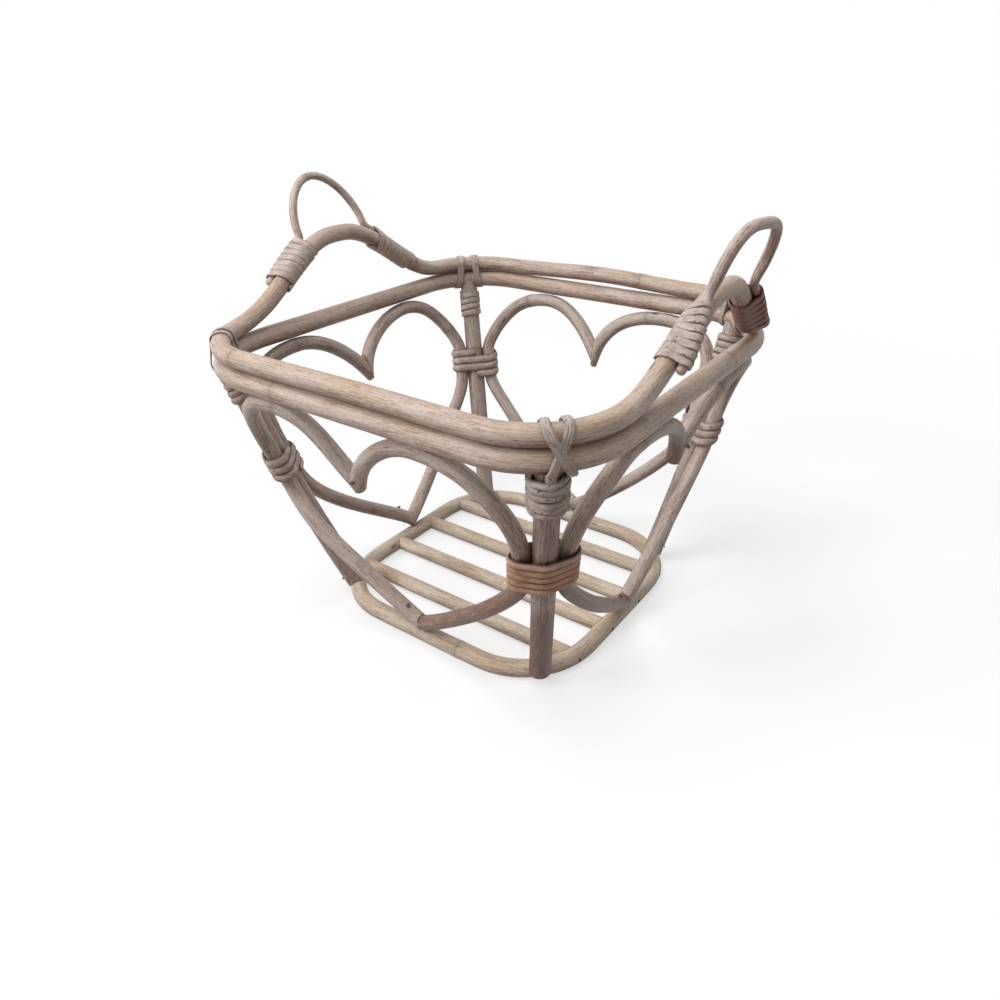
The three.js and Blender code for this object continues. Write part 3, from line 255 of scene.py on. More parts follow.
# Ends of a cane: rings inset in the face, and how far a loose end is drawn in and rounded
END_RINGS = 3
END_RING_SHARE = 0.22
END_DRAW = 0.16
END_ROUND = 0.5
LOOP_END_DEPTH = 3.0

# Points of the curves
BEZIER_STEPS = 36
THREAD_STEPS = 12
LEG_STEPS = 8
ARCH_STEPS = 16
POST_STEPS = 79
WRAP_STEPS = 60
WINDING_STEPS = 40
PASSAGE_HALVINGS = 24

# Steps of the fine meshes
CANE_STEP = 2.2
LOOP_STEP = 1.54
CANE_SIDES = 20
LOOP_SIDES = 16
GUIDE_OVERRUN = 8
COPE_STEP = 0.1
PEEL_STEP = 1.6
PEEL_COLUMNS = 8
FIBRE_COLUMNS = 4

RING_RADIUS = RING_DIAMETER / 2
RING_HEIGHT = RING_RADIUS - FLOOR_FLAT_DEPTH
LOWER_RIM_RADIUS = LOWER_RIM_DIAMETER / 2
UPPER_RIM_RADIUS = UPPER_RIM_DIAMETER / 2
UPPER_RIM_HEIGHT = LOWER_RIM_HEIGHT + LOWER_RIM_RADIUS + UPPER_RIM_RADIUS + CLEARANCE
POST_RADIUS = POST_DIAMETER / 2
HEART_RADIUS = HEART_DIAMETER / 2
HANDLE_RADIUS = HANDLE_DIAMETER / 2
WALL_HEIGHT = LOWER_RIM_HEIGHT - RING_HEIGHT
HANDLE_SEAT = UPPER_RIM_RADIUS + HANDLE_RADIUS + CLEARANCE
TIP_HEIGHT = RING_HEIGHT + RING_RADIUS + HEART_RADIUS + CLEARANCE

SIDES = {"front": (-1, True), "back": (1, True), "left": (-1, False), "right": (1, False)}
CORNERS = {"front_right": (1, -1), "front_left": (-1, -1), "back_left": (-1, 1), "back_right": (1, 1)}
LAPPED_CORNER = "front_right"
FOLLOWED_CORNER = "back_right"
HEART_CORNERS = {
    "front": ("front_left", "front_right"), "back": ("back_left", "back_right"),
    "left": ("front_left", "back_left"), "right": ("front_right", "back_right")}
HEART_ENDS = {"front": ("left", "right"), "back": ("left", "right"),
              "left": ("front", "back"), "right": ("front", "back")}
UP = np.array([0.0, 0.0, 1.0])


# Routes of the canes

def lerp(a, b, share):
    return a + (b - a) * share


def unit(vector):
    return vector / np.linalg.norm(vector)


def units(vectors):
    return vectors / np.linalg.norm(vectors, axis=1)[:, None]


def travelled(points):
    """Distance along a path at each of its points."""
    return np.concatenate([[0], np.cumsum(np.linalg.norm(np.diff(points, axis=0), axis=1))])


def smoothstep(value, low, high):
    share = np.clip((value - low) / (high - low), 0, 1)
    return share * share * (3 - 2 * share)


def wall_plan(height):
    """Half length and half width of the wall's plan at a height."""
    share = (height - RING_HEIGHT) / WALL_HEIGHT
    return lerp(RING_HALF_LENGTH, RIM_HALF_LENGTH, share), lerp(RING_HALF_WIDTH, RIM_HALF_WIDTH, share)


def corner_bow(corner, height):
    """How far a corner is bowed outwards at a height."""
    return POST_BOWS[corner] * math.sin(math.pi * min(1, max(0, (height - RING_HEIGHT) / WALL_HEIGHT)))


def corner_radius(corner, height):
    straight = lerp(RING_CORNER, RIM_CORNERS[corner], (height - RING_HEIGHT) / WALL_HEIGHT)
    return straight - corner_bow(corner, height) / (math.sqrt(2) - 1)


def corner_at(side, end):
    """The corner at one end of a side."""
    facing, is_long = SIDES[side]
    place = (end, facing) if is_long else (facing, end)
    return next(corner for corner in CORNERS if CORNERS[corner] == place)


def side_plan(side, height):
    """Half length of a side's wall, and its distance from the basket's middle."""
    length, width = wall_plan(height)
    return (length, width) if SIDES[side][1] else (width, length)


def wall_point(side, along, height):
    facing, is_long = SIDES[side]
    reach, distance = side_plan(side, height)
    corner = corner_radius(corner_at(side, -1 if along < 0 else 1), height)
    into_corner = max(0, abs(along) - (reach - corner))
    across = facing * (distance - corner + math.sqrt(max(0, corner ** 2 - into_corner ** 2)))
    return np.array([along, across, height] if is_long else [across, along, height], float)


def corner_point(corner, height, turn=0.0):
    length, width = wall_plan(height)
    radius = corner_radius(corner, height)
    x, y = CORNERS[corner]
    angle = math.pi / 4 + turn
    return np.array([x * (length - radius * (1 - math.cos(angle))),
                     y * (width - radius * (1 - math.sin(angle))), height])


def corner_outward(corner):
    return unit(np.array([*CORNERS[corner], 0.0]))


def post_turn(corner, height):
    return POST_SWAYS[corner] * (height - RING_HEIGHT) / WALL_HEIGHT / corner_radius(corner, height)


def post_place(corner, height):
    lap = LAP_OFFSET * (LOWER_RIM_HEIGHT - height) / WALL_HEIGHT if corner == LAPPED_CORNER else 0
    return corner_point(corner, height, post_turn(corner, height)) + lap * corner_outward(corner)


def post_point(corner, height):
    share = (height - RING_HEIGHT) / WALL_HEIGHT
    straight = lerp(post_place(corner, RING_HEIGHT), post_place(corner, LOWER_RIM_HEIGHT), share)
    return straight + corner_bow(corner, height) * corner_outward(corner)


def ring_plan(half_length, half_width, radii, step):
    """Points of a round-cornered ring, counter-clockwise from the middle of the right side."""
    loop = [(half_length, 0.0)]
    for quarter, corner in enumerate(("back_right", "back_left", "front_left", "front_right")):
        x, y = CORNERS[corner]
        radius = radii[corner]
        turns = math.ceil(radius * math.pi / 2 / step)
        for i in range(turns + 1):
            angle = math.pi / 2 * (quarter + i / turns)
            loop.append((x * (half_length - radius) + radius * math.cos(angle),
                         y * (half_width - radius) + radius * math.sin(angle)))
    loop.append(loop[0])
    return spaced(np.array(loop), step)


def spaced(points, step):
    """The same path with its points at even steps."""
    distances = travelled(points[:, :3])
    keep = np.concatenate([[True], np.diff(distances) > 1e-9])
    places = np.linspace(0, distances[-1], max(2, round(distances[-1] / step) + 1))
    return np.stack([np.interp(places, distances[keep], column[keep]) for column in points.T], 1)


def softened(points, reach, closed=False):
    """The path as bent cane takes it, with no sudden change between straight and bend."""
    step = np.linalg.norm(points[1, :3] - points[0, :3])
    half = int(2.5 * reach / step)
    weights = np.exp(-0.5 * (np.arange(-half, half + 1) * step / reach) ** 2)
    weights /= weights.sum()
    if closed:
        before, middle, after = points[-1 - half:-1], points[:-1], points[:half]
    else:
        before, middle = 2 * points[0] - points[half:0:-1], points
        after = 2 * points[-1] - points[-2:-half - 2:-1]
    padded = np.concatenate([before, middle, after])
    rounded = np.stack([np.convolve(column, weights, "valid") for column in padded.T], 1)
    return np.concatenate([rounded, rounded[:1]]) if closed else rounded


def start_at(loop, place):
    """A closed path started at its point nearest a place."""
    index = int(np.argmin(np.linalg.norm(loop[:-1] - place, axis=1)))
    turned = np.roll(loop[:-1], -index, axis=0)
    return np.concatenate([turned, turned[:1]])


def lower_rim_route():
    plan = ring_plan(RIM_HALF_LENGTH, RIM_HALF_WIDTH, RIM_CORNERS, CANE_STEP)
    points = np.column_stack([plan, np.full(len(plan), LOWER_RIM_HEIGHT)])
    return softened(start_at(points, np.array([-RIM_HALF_LENGTH, 0, LOWER_RIM_HEIGHT])), RING_EASE, True)


def base_ring_route():
    radii = dict.fromkeys(CORNERS, RING_CORNER)
    plan = ring_plan(RING_HALF_LENGTH, RING_HALF_WIDTH, radii, CANE_STEP)
    points = np.column_stack([plan, np.full(len(plan), RING_HEIGHT)])
    return softened(start_at(points, np.array([0, RING_HALF_WIDTH, RING_HEIGHT])), RING_EASE, True)


def hump_rise(side, y):
    hump = HUMPS[side]
    low, high = hump["crest"]
    beyond = max((low - y) / (hump["half"] + low), (y - high) / (hump["half"] - high))
    return hump["rise"] * math.cos(math.pi / 2 * min(1, max(0, beyond))) ** 2


def hump_point(side, y):
    """A point of the upper rim over a short side, by its distance along Y."""
    rise = hump_rise(side, y)
    corner = RIM_CORNERS[corner_at(side, -1 if y < 0 else 1)]
    into_corner = max(0, abs(y) - (RIM_HALF_WIDTH - corner))
    across = RIM_HALF_LENGTH - corner + math.sqrt(max(0, corner ** 2 - into_corner ** 2))
    return np.array([SIDES[side][0] * (across + HUMP_LEAN * rise), y, UPPER_RIM_HEIGHT + rise])


def upper_rim_route():
    plan = ring_plan(RIM_HALF_LENGTH, RIM_HALF_WIDTH, RIM_CORNERS, CANE_STEP)
    points = []
    for x, y in plan:
        side = "front" if y < 0 else "back"
        straight = RIM_HALF_LENGTH - RIM_CORNERS[corner_at(side, -1 if x < 0 else 1)]
        if abs(x) > straight:
            points.append(hump_point("right" if x > 0 else "left", y))
        else:
            bow = RIM_BOWS[side] * math.cos(math.pi * x / (2 * straight)) ** 2
            points.append(np.array([x, y, UPPER_RIM_HEIGHT + bow]))
    route = start_at(np.array(points), np.array([0, RIM_HALF_WIDTH, UPPER_RIM_HEIGHT + RIM_BOWS["back"]]))
    return softened(spaced(route, CANE_STEP), HUMP_EASE, True)


def apex_height(side):
    lean = (side_plan(side, LOWER_RIM_HEIGHT)[1] - side_plan(side, RING_HEIGHT)[1]) / WALL_HEIGHT
    return LOWER_RIM_HEIGHT - (LOWER_RIM_RADIUS + HEART_RADIUS + CLEARANCE) / math.hypot(1, lean)


def beside_post(side, corner, height, gap):
    """Distance along a side at which a heart cane passes a corner post."""
    reach = side_plan(side, height)[0]
    radius = corner_radius(corner, height)
    spacing = POST_RADIUS + HEART_RADIUS + gap
    turn = post_turn(corner, height) * (1 if SIDES[side][1] else -1)
    angle = math.pi / 4 + turn + 2 * math.asin(spacing / (2 * radius))
    return reach - radius + radius * math.cos(angle)


def bezier(controls):
    t = np.linspace(0, 1, BEZIER_STEPS + 1)[:, None]
    a, b, c, d = (np.asarray(point, float) for point in controls)
    return (1 - t) ** 3 * a + 3 * (1 - t) ** 2 * t * b + 3 * (1 - t) * t ** 2 * c + t ** 3 * d


def extended(points, length):
    """The path with a straight stretch added before its start."""
    return np.concatenate([[points[0] + length * unit(points[0] - points[1])], points])


def heart_route(side, index):
    """Centre line of one heart cane, from the cusp over the arch to the tip on the ring."""
    end = (-1, 1)[index]
    corner = HEART_CORNERS[side][index]
    shape = HEARTS[side][index]
    middle = BANDS[corner][0]
    band_top, band_foot = middle + BAND_HALF_HEIGHT, middle - BAND_HALF_HEIGHT
    place, height, tail = CUSPS[side]
    cusp = np.array([end * place, height], float)
    apex = np.array([shape["apex"], apex_height(side)])
    upper = np.array([beside_post(side, corner, band_top, CLEARANCE), band_top])
    lower = np.array([beside_post(side, corner, band_foot, CLEARANCE), band_foot])
    tip = np.array([0, TIP_HEIGHT])
    rise = unit(upper - lower)

    def on_wall(point):
        over = smoothstep(point[1], band_top, band_top + WRAP_ROOM_START)
        limit = beside_post(side, corner, point[1], lerp(CLEARANCE, WRAP_ROOM, over))
        return wall_point(side, end * min(point[0], limit), point[1])

    def stretch(controls, short):
        straight = bezier([on_wall(point) for point in controls])
        bent = np.array([on_wall(point) for point in bezier(controls)])
        return lerp(bent, straight, short)

    short_above, short_below = shape.get("short", (0, 0))
    to_apex = stretch([cusp, cusp + shape["cusp"], apex - (shape["arch"][0], 0), apex], 0)
    to_band = stretch([apex, apex + (shape["arch"][1], 0), upper + shape["above"] * rise, upper], short_above)
    to_tip = stretch([lower, lower - shape["below"] * rise, tip + shape["tip"], tip], short_below)
    points = np.concatenate([to_apex, to_band[1:], to_tip])
    points = extended(points, tail)
    points = extended(points[::-1], TIP_TAIL)[::-1]
    return softened(spaced(points, CANE_STEP), HEART_EASE)


def seat_direction(side, leg, y):
    """Direction from a hump's centre line to the handle leg that lies along it."""
    shape = HANDLES[side]["legs"][leg]
    facing = SIDES[side][0]
    tangent = unit(hump_point(side, y + 1) - hump_point(side, y - 1))
    outward = np.array([facing, 0.0, 0.0])
    outward = unit(outward - outward.dot(tangent) * tangent)
    upward = facing * np.cross(outward, tangent)
    share = min(1, max(0, (abs(y) - shape["top"]) / (shape["end"] - shape["top"])))
    angle = math.radians(lerp(*shape["seat"], share))
    return math.cos(angle) * outward + math.sin(angle) * upward


def leg_points(side, leg):
    shape = HANDLES[side]["legs"][leg]
    sign = -1 if leg == "front" else 1
    places = sign * np.linspace(shape["top"], shape["end"] + HANDLE_LEG_TAIL, LEG_STEPS + 1)
    return np.array([hump_point(side, y) + HANDLE_SEAT * seat_direction(side, leg, y) for y in places])


def threaded(points, step):
    """A smooth path through all of its points."""
    gaps = np.sqrt(np.linalg.norm(np.diff(points, axis=0), axis=1))
    before = np.concatenate([[2 * points[0] - points[1]], points[:-1]])
    after = np.concatenate([points[1:], [2 * points[-1] - points[-2]]])
    first = np.concatenate([[gaps[0]], gaps])[:, None]
    second = np.concatenate([gaps, [gaps[-1]]])[:, None]
    pull = (points - before) / first - (after - before) / (first + second) + (after - points) / second
    path = [points[:1]]
    t = np.linspace(0, 1, THREAD_STEPS + 1)[1:, None]
    for i, gap in enumerate(gaps):
        path.append((2 * t ** 3 - 3 * t ** 2 + 1) * points[i] + (t ** 3 - 2 * t ** 2 + t) * gap * pull[i]
                    + (3 * t ** 2 - 2 * t ** 3) * points[i + 1] + (t ** 3 - t ** 2) * gap * pull[i + 1])
    return spaced(np.concatenate(path), step)


def handle_route(side):
    shape = HANDLES[side]
    front, back = leg_points(side, "front"), leg_points(side, "back")
    arch = []
    for i in range(1, ARCH_STEPS):
        angle = math.pi * (1 - i / ARCH_STEPS)
        along = math.copysign(abs(math.cos(angle)) ** (2 / shape["squareness"]), math.cos(angle))
        height = shape["rise"] * math.sin(angle) ** (2 / shape["squareness"])
        lean = np.array([SIDES[side][0] * shape["lean"] * height, 0, height])
        arch.append(lerp(front[0], back[0], (1 + along) / 2) + lean)
    return softened(threaded(np.concatenate([front[::-1], arch, back]), LOOP_STEP), LOOP_EASE)


# Canes

def only(piece):
    """Selects one piece and nothing else."""
    bpy.ops.object.select_all(action="DESELECT")
    piece.select_set(True)
    bpy.context.view_layer.objects.active = piece


def pick_nothing(*kinds):
    """Deselects the active piece's mesh, and sets whether vertices, edges or faces are picked."""
    bpy.context.tool_settings.mesh_select_mode = kinds
    bpy.ops.object.mode_set(mode="EDIT")
    bpy.ops.mesh.select_all(action="DESELECT")
    bpy.ops.object.mode_set(mode="OBJECT")


def face_outwards(piece, smooth_angle):
    """Turns a closed piece's faces outwards, and shades it smooth up to an angle in degrees."""
    only(piece)
    bpy.ops.object.mode_set(mode="EDIT")
    bpy.ops.mesh.select_all(action="SELECT")
    bpy.ops.mesh.normals_make_consistent(inside=False)
    bpy.ops.object.mode_set(mode="OBJECT")
    bpy.ops.object.shade_smooth_by_angle(angle=math.radians(smooth_angle))


def coordinates(mesh):
    values = np.empty(3 * len(mesh.vertices))
    mesh.vertices.foreach_get("co", values)
    return values.reshape(-1, 3)


def set_coordinates(mesh, values):
    mesh.vertices.foreach_set("co", np.ascontiguousarray(values).ravel())
    mesh.update()


def store(mesh, name, values):
    """Keeps a number or a vector for each vertex, for the finish to read."""
    kind = "FLOAT_VECTOR" if values.ndim == 2 else "FLOAT"
    attribute = mesh.attributes.get(name) or mesh.attributes.new(name, kind, "POINT")
    attribute.data.foreach_set("vector" if values.ndim == 2 else "value",
                               np.ascontiguousarray(values, float).ravel())


def wander(places, seed, wavelength, amplitude):
    """A slow, irregular change along a cane."""
    draw = random.Random(seed)
    total = np.zeros_like(places)
    for share in (1.0, 0.53, 0.27):
        phase = draw.uniform(0, 2 * math.pi)
        stretch = draw.uniform(0.85, 1.15)
        total += share * np.sin(2 * math.pi * places / (wavelength * share * stretch) + phase)
    return amplitude * total / 1.8


def growth_joints(length, seed):
    """Places along a cane where its stem had a joint."""
    draw = random.Random(seed)
    places, place = [], draw.uniform(*FIRST_JOINT)
    while place < length:
        places.append(place)
        place += draw.uniform(*JOINT_SPACING)
    return np.array(places or [math.inf])


def grain_start(seed):
    """Where a piece's grain starts, in metres, so that no two pieces have the same."""
    draw = random.Random(seed)
    return np.array([draw.uniform(-GRAIN_SPREAD, GRAIN_SPREAD) for _ in range(3)])


def select_lengthwise(mesh):
    """Selects the edges that run along X."""
    points = coordinates(mesh)
    ends = np.empty(2 * len(mesh.edges), int)
    mesh.edges.foreach_get("vertices", ends)
    first, second = points[ends[0::2]], points[ends[1::2]]
    along = np.abs(first[:, 0] - second[:, 0]) > 4 * np.abs(first[:, 1:] - second[:, 1:]).sum(1)
    chosen = np.zeros(len(mesh.vertices), bool)
    chosen[ends[0::2][along]] = chosen[ends[1::2][along]] = True
    mesh.polygons.foreach_set("select", np.zeros(len(mesh.polygons), bool))
    mesh.vertices.foreach_set("select", chosen)
    mesh.edges.foreach_set("select", along)


def straight_cane(name, length, radius, sides):
    """A straight length of cane along X, cut into even steps, with rings inset in its end faces."""
    bpy.ops.object.select_all(action="DESELECT")
    bpy.ops.mesh.primitive_cylinder_add(
        vertices=sides, radius=radius * MM, depth=length * MM, end_fill_type="NGON",
        location=(length * MM / 2, 0, 0), rotation=(0, math.pi / 2, 0))
    cane = bpy.context.object
    cane.name = cane.data.name = name
    bpy.ops.object.transform_apply(location=True, rotation=True, scale=True)
    pick_nothing(False, True, False)
    steps = max(2, round(length / CANE_STEP))
    coarse = max(1, round(math.sqrt(steps)))
    for cuts in (coarse - 1, round(steps / coarse) - 1):
        if cuts > 0:
            select_lengthwise(cane.data)
            bpy.ops.object.mode_set(mode="EDIT")
            bpy.ops.mesh.subdivide(number_cuts=cuts)
            bpy.ops.object.mode_set(mode="OBJECT")
    pick_nothing(False, False, True)
    for face in cane.data.polygons:
        face.select = abs(face.normal.x) > 0.9
    bpy.ops.object.mode_set(mode="EDIT")
    for _ in range(END_RINGS):
        bpy.ops.mesh.inset(thickness=radius * END_RING_SHARE * MM)
    bpy.ops.object.mode_set(mode="OBJECT")
    return cane


def shape_skin(cane, seed, length, worn, girth):
    """Gives a straight cane its growth joints, uneven thickness and the places that finishes
    read. Worn stretches are (from, to, amount) with their ends as shares of the length, and
    girth is the cane's thickness at even steps of its length."""
    points = coordinates(cane.data)
    along = points[:, 0] / MM
    joints = growth_joints(length, seed)
    nearest = joints[np.argmin(np.abs(along[:, None] - joints[None, :]), axis=1)]
    from_joint = along - nearest
    ridge = JOINT_SWELLING[0] * np.exp(-(from_joint / JOINT_SWELLING[1]) ** 2)
    ridge -= JOINT_GROOVE[0] * np.exp(-((from_joint - GROOVE_PLACE) / JOINT_GROOVE[1]) ** 2)
    angle = np.arctan2(points[:, 2], points[:, 1])
    lobes = OVAL_SHARE * np.sin(2 * angle + wander(along, seed + "oval", OVAL_WAVE, OVAL_TURN))
    swell = 1 + wander(along, seed + "girth", UNEVEN_WAVE, UNEVEN_SHARE) + ridge + lobes
    store(cane.data, "grain", points[:, [1, 2, 0]] + grain_start(seed + "place"))
    store(cane.data, "from_joint", np.clip(from_joint, -JOINT_REACH, JOINT_REACH) * MM)
    wear = wander(along, seed + "wear", WEAR_WAVE, WEAR_SHARE)
    for start, finish, amount in worn:
        rise = smoothstep(along / length, start - WEAR_FADE, start + WEAR_FADE)
        fall = smoothstep(along / length, finish - WEAR_FADE, finish + WEAR_FADE)
        wear += amount * (rise - fall)
    store(cane.data, "wear", wear)
    swell *= np.interp(along / length, np.linspace(0, 1, len(girth)), girth)
    points[:, 1:] *= swell[:, None]
    set_coordinates(cane.data, points)


def mark_cut(cane, radius, length):
    """Marks a straight cane's two end faces as sawn."""
    points = coordinates(cane.data)
    reach = np.linalg.norm(points[:, 1:], axis=1) / (radius * MM)
    at_end = (points[:, 0] < 0.05 * MM) | (points[:, 0] > (length - 0.05) * MM)
    store(cane.data, "cut", (at_end & (reach < 0.9)).astype(float))


def ease_end(cane, place, outward, radius, depth):
    """Rounds a cane's end by drawing its last rings in."""
    points = coordinates(cane.data)
    inside = np.clip((depth - (place * MM - points[:, 0]) * outward / MM) / depth, 0, 1)
    points[:, 1:] *= (1 - END_DRAW * inside ** 3)[:, None]
    reach = np.linalg.norm(points[:, 1:], axis=1) / (radius * MM)
    points[:, 0] -= outward * (inside >= 0.999) * depth * MM * END_ROUND * reach ** 4
    set_coordinates(cane.data, points)


def bend(cane, route, closed):
    """Bends a straight cane along its route. The guide runs past both ends."""
    over = GUIDE_OVERRUN
    if closed:
        guide_points = np.concatenate([route[-1 - over:-1], route, route[1:over + 1]])
    else:
        step = np.arange(over, 0, -1)[:, None]
        guide_points = np.concatenate([route[0] + step * (route[0] - route[1]), route,
                                       route[-1] + step[::-1] * (route[-1] - route[-2])])
    points = coordinates(cane.data)
    points[:, 0] += travelled(guide_points[:over + 1])[-1] * MM
    set_coordinates(cane.data, points)
    guide_curve = bpy.data.curves.new("guide", "CURVE")
    guide_curve.dimensions = "3D"
    guide_curve.twist_mode = "MINIMUM"
    guide_curve.use_radius = False
    spline = guide_curve.splines.new("POLY")
    spline.points.add(len(guide_points) - 1)
    spline.points.foreach_set("co", np.column_stack([guide_points * MM, np.ones(len(guide_points))]).ravel())
    guide = bpy.data.objects.new("guide", guide_curve)
    bpy.context.scene.collection.objects.link(guide)
    only(cane)
    bending = cane.modifiers.new("bend", "CURVE")
    bending.object = guide
    bending.deform_axis = "POS_X"
    bpy.ops.object.modifier_apply(modifier=bending.name)
    bpy.data.objects.remove(guide)
    bpy.data.curves.remove(guide_curve)


def nearest_gap(points, route):
    """Distance of each point from a route's centre line, in millimetres."""
    start, span = route[:-1], np.diff(route, axis=0)
    squared = np.maximum((span ** 2).sum(1), 1e-9)
    share = np.einsum("ijk,jk->ij", points[:, None] - start[None], span) / squared
    nearest = start[None] + np.clip(share, 0, 1)[:, :, None] * span[None]
    return np.linalg.norm(points[:, None] - nearest, axis=2).min(1)


def cope(cane, route, reach, is_outside):
    """Cuts a cane's end to fit, where its route starts: points that are outside slide back along the cane."""
    points = coordinates(cane.data) / MM
    near = np.linalg.norm(points - route[0], axis=1) < reach
    moving = points[near]
    count = int(2 * reach / CANE_STEP) + 2
    inward = units(np.gradient(route[:count], axis=0))
    for _ in range(int(reach / COPE_STEP)):
        outside = is_outside(moving)
        if not outside.any():
            break
        gaps = np.linalg.norm(moving[outside][:, None] - route[None, :count], axis=2)
        moving[outside] += COPE_STEP * inward[np.argmin(gaps, axis=1)]
    points[near] = moving
    set_coordinates(cane.data, points * MM)


def close_seams(cane):
    """Merges what coping drew together at a cane's ends."""
    only(cane)
    bpy.context.tool_settings.mesh_select_mode = (True, False, False)
    bpy.ops.object.mode_set(mode="EDIT")
    bpy.ops.mesh.select_all(action="SELECT")
    bpy.ops.mesh.remove_doubles(threshold=0.05 * MM)
    bpy.ops.mesh.dissolve_degenerate(threshold=0.02 * MM)
    bpy.ops.object.mode_set(mode="OBJECT")
    face_outwards(cane, 50)


def bent_cane(node, route, radius, closed=False, sides=CANE_SIDES, eased=0.0, girth=(1.0,)):
    """A whole cane: straight, shaped, and bent along its route."""
    name = "rattan_" + node
    length = travelled(route)[-1]
    cane = straight_cane(name, length, radius, sides)
    shape_skin(cane, name, length, WORN.get(node, ()), girth)
    if closed:
        slant_ends(cane, length, radius)
    else:
        mark_cut(cane, radius, length)
    if eased:
        ease_end(cane, 0, -1, radius, eased)
        ease_end(cane, length, 1, radius, eased)
    bend(cane, route, closed)
    return cane


def slant_ends(cane, length, radius):
    """Shears both ends of a ring's cane, so that they meet at a slanted scarf."""
    points = coordinates(cane.data)
    along = points[:, 0] / MM
    slant = SCARF_LENGTH / 2 * points[:, 1] / (radius * MM)
    gap = CLEARANCE / 2
    points[:, 0] += MM * (slant + gap) * np.clip(1 - along / SCARF_FADE, 0, 1)
    points[:, 0] += MM * (slant - gap) * np.clip(1 - (length - along) / SCARF_FADE, 0, 1)
    set_coordinates(cane.data, points)


# Bindings of peel

def outline_at(circles, angle):
    """The canes' common outline at an angle: which cane it lies on, the point and the outward direction."""
    facing = np.array([math.cos(angle), math.sin(angle)])
    reaches = [np.dot(centre, facing) + radius for centre, radius in circles]
    index = int(np.argmax(reaches))
    centre, radius = circles[index]
    return index, np.asarray(centre) + radius * facing, facing


def winding_angles(circles, start, finish):
    """Even steps, and both sides of each passage from one cane to the next."""
    count = math.ceil((finish - start) / (2 * math.pi / WINDING_STEPS))
    angles = [start]
    for after in np.linspace(start, finish, count + 1)[1:]:
        before = angles[-1]
        index = outline_at(circles, before)[0]
        if index != outline_at(circles, after)[0]:
            low, high = before, after
            for _ in range(PASSAGE_HALVINGS):
                middle = (low + high) / 2
                low, high = (middle, high) if outline_at(circles, middle)[0] == index else (low, middle)
            angles += [low, high]
        angles.append(after)
    return angles


def wound(circles_at, frame_at, turns, start, seed, slip, lift, droop=0.0, level=0.0):
    """Path of a strip wound round an axis: its points and its outward directions. The turns can
    slip along the axis and lift off it, droop on the side that the frame faces, or be made more
    level there."""
    points, outs = [], []
    total = 2 * math.pi * turns
    angles = winding_angles(circles_at(0.5), start, start + total)
    slips = wander(np.array(angles), seed + "slip", SLIP_WAVE, slip)
    lifts = lift * 0.5 + wander(np.array(angles), seed + "lift", LIFT_WAVE, lift / 2)
    for angle, along, over in zip(angles, slips, lifts):
        share = (angle - start) / total
        point, direction, zero = frame_at(share)
        quarter = np.cross(direction, zero)
        _, place, facing = outline_at(circles_at(share), angle)
        out = facing[0] * zero + facing[1] * quarter
        along += droop * (facing[0] - DROOP_LEVEL) - level * place[0]
        points.append(point + place[0] * zero + place[1] * quarter + along * direction + over * out)
        outs.append(out)
    return np.array(points), np.array(outs)


def grown(circles, thickness):
    return [(centre, radius + CLEARANCE + thickness / 2) for centre, radius in circles]


def peel(node, points, outs, width, thickness, crown, fibres=1):
    """A strip of peel laid along a path, domed, with its ends cut narrow. It can be split into
    round fibres that lie side by side."""
    name = "peel_" + node
    columns = PEEL_COLUMNS if fibres == 1 else FIBRE_COLUMNS * fibres
    path = spaced(np.column_stack([points, outs]), PEEL_STEP)
    points, outs = path[:, :3], path[:, 3:]
    along = units(np.gradient(points, axis=0))
    across = units(np.cross(outs, along))
    outs = np.cross(along, across)
    rows, places = len(points), np.arange(len(points)) * PEEL_STEP
    widths = width * (1 + wander(places, name + "width", *PEEL_UNEVEN))
    for from_end in (places, places[-1] - places):
        widths *= 1 - (1 - PEEL_END_WIDTH) * (1 - np.clip(from_end / PEEL_TAPER, 0, 1)) ** 2

    bpy.ops.object.select_all(action="DESELECT")
    bpy.ops.mesh.primitive_grid_add(x_subdivisions=columns, y_subdivisions=rows - 1, size=1)
    strip = bpy.context.object
    strip.name = strip.data.name = name
    flat = coordinates(strip.data) + 0.5
    side = 2 * flat[:, 0] - 1
    row = np.rint(flat[:, 1] * (rows - 1)).astype(int)
    edge_wear = wander(places, name + "edge", *PEEL_FRAYED)[row] * np.abs(side)
    offset = side * widths[row] / 2 * (1 + edge_wear / 2)
    column = np.rint(flat[:, 0] * columns)
    within = np.abs(2 * (column * fibres / columns % 1) - 1) if fibres > 1 else np.abs(side)
    dome = crown * (1 - side ** 2) + FIBRE_RELIEF * (1 - within ** 2) * (fibres > 1)
    laid = points[row] + across[row] * offset[:, None] + outs[row] * dome[:, None]
    store(strip.data, "grain", np.stack([offset, dome, places[row]], 1) * MM + grain_start(name))
    store(strip.data, "rim", np.maximum(within, np.abs(side)))
    store(strip.data, "laid", flat[:, 1])
    set_coordinates(strip.data, laid * MM)
    thicken = strip.modifiers.new("thickness", "SOLIDIFY")
    thicken.thickness = thickness * MM
    thicken.offset = 0
    ease = strip.modifiers.new("eased_edges", "BEVEL")
    ease.width = thickness * PEEL_BEVEL_SHARE * MM
    ease.segments = 2
    ease.limit_method = "ANGLE"
    ease.angle_limit = math.radians(50)
    only(strip)
    bpy.ops.object.modifier_apply(modifier=thicken.name)
    bpy.ops.object.modifier_apply(modifier=ease.name)
    face_outwards(strip, 60)
    return strip


def post_frame(corner, top, foot):
    start, finish = post_point(corner, top), post_point(corner, foot)
    direction = unit(finish - start)
    zero = corner_outward(corner)
    zero = unit(zero - zero.dot(direction) * direction)
    return lambda share: (lerp(start, finish, share), direction, zero)


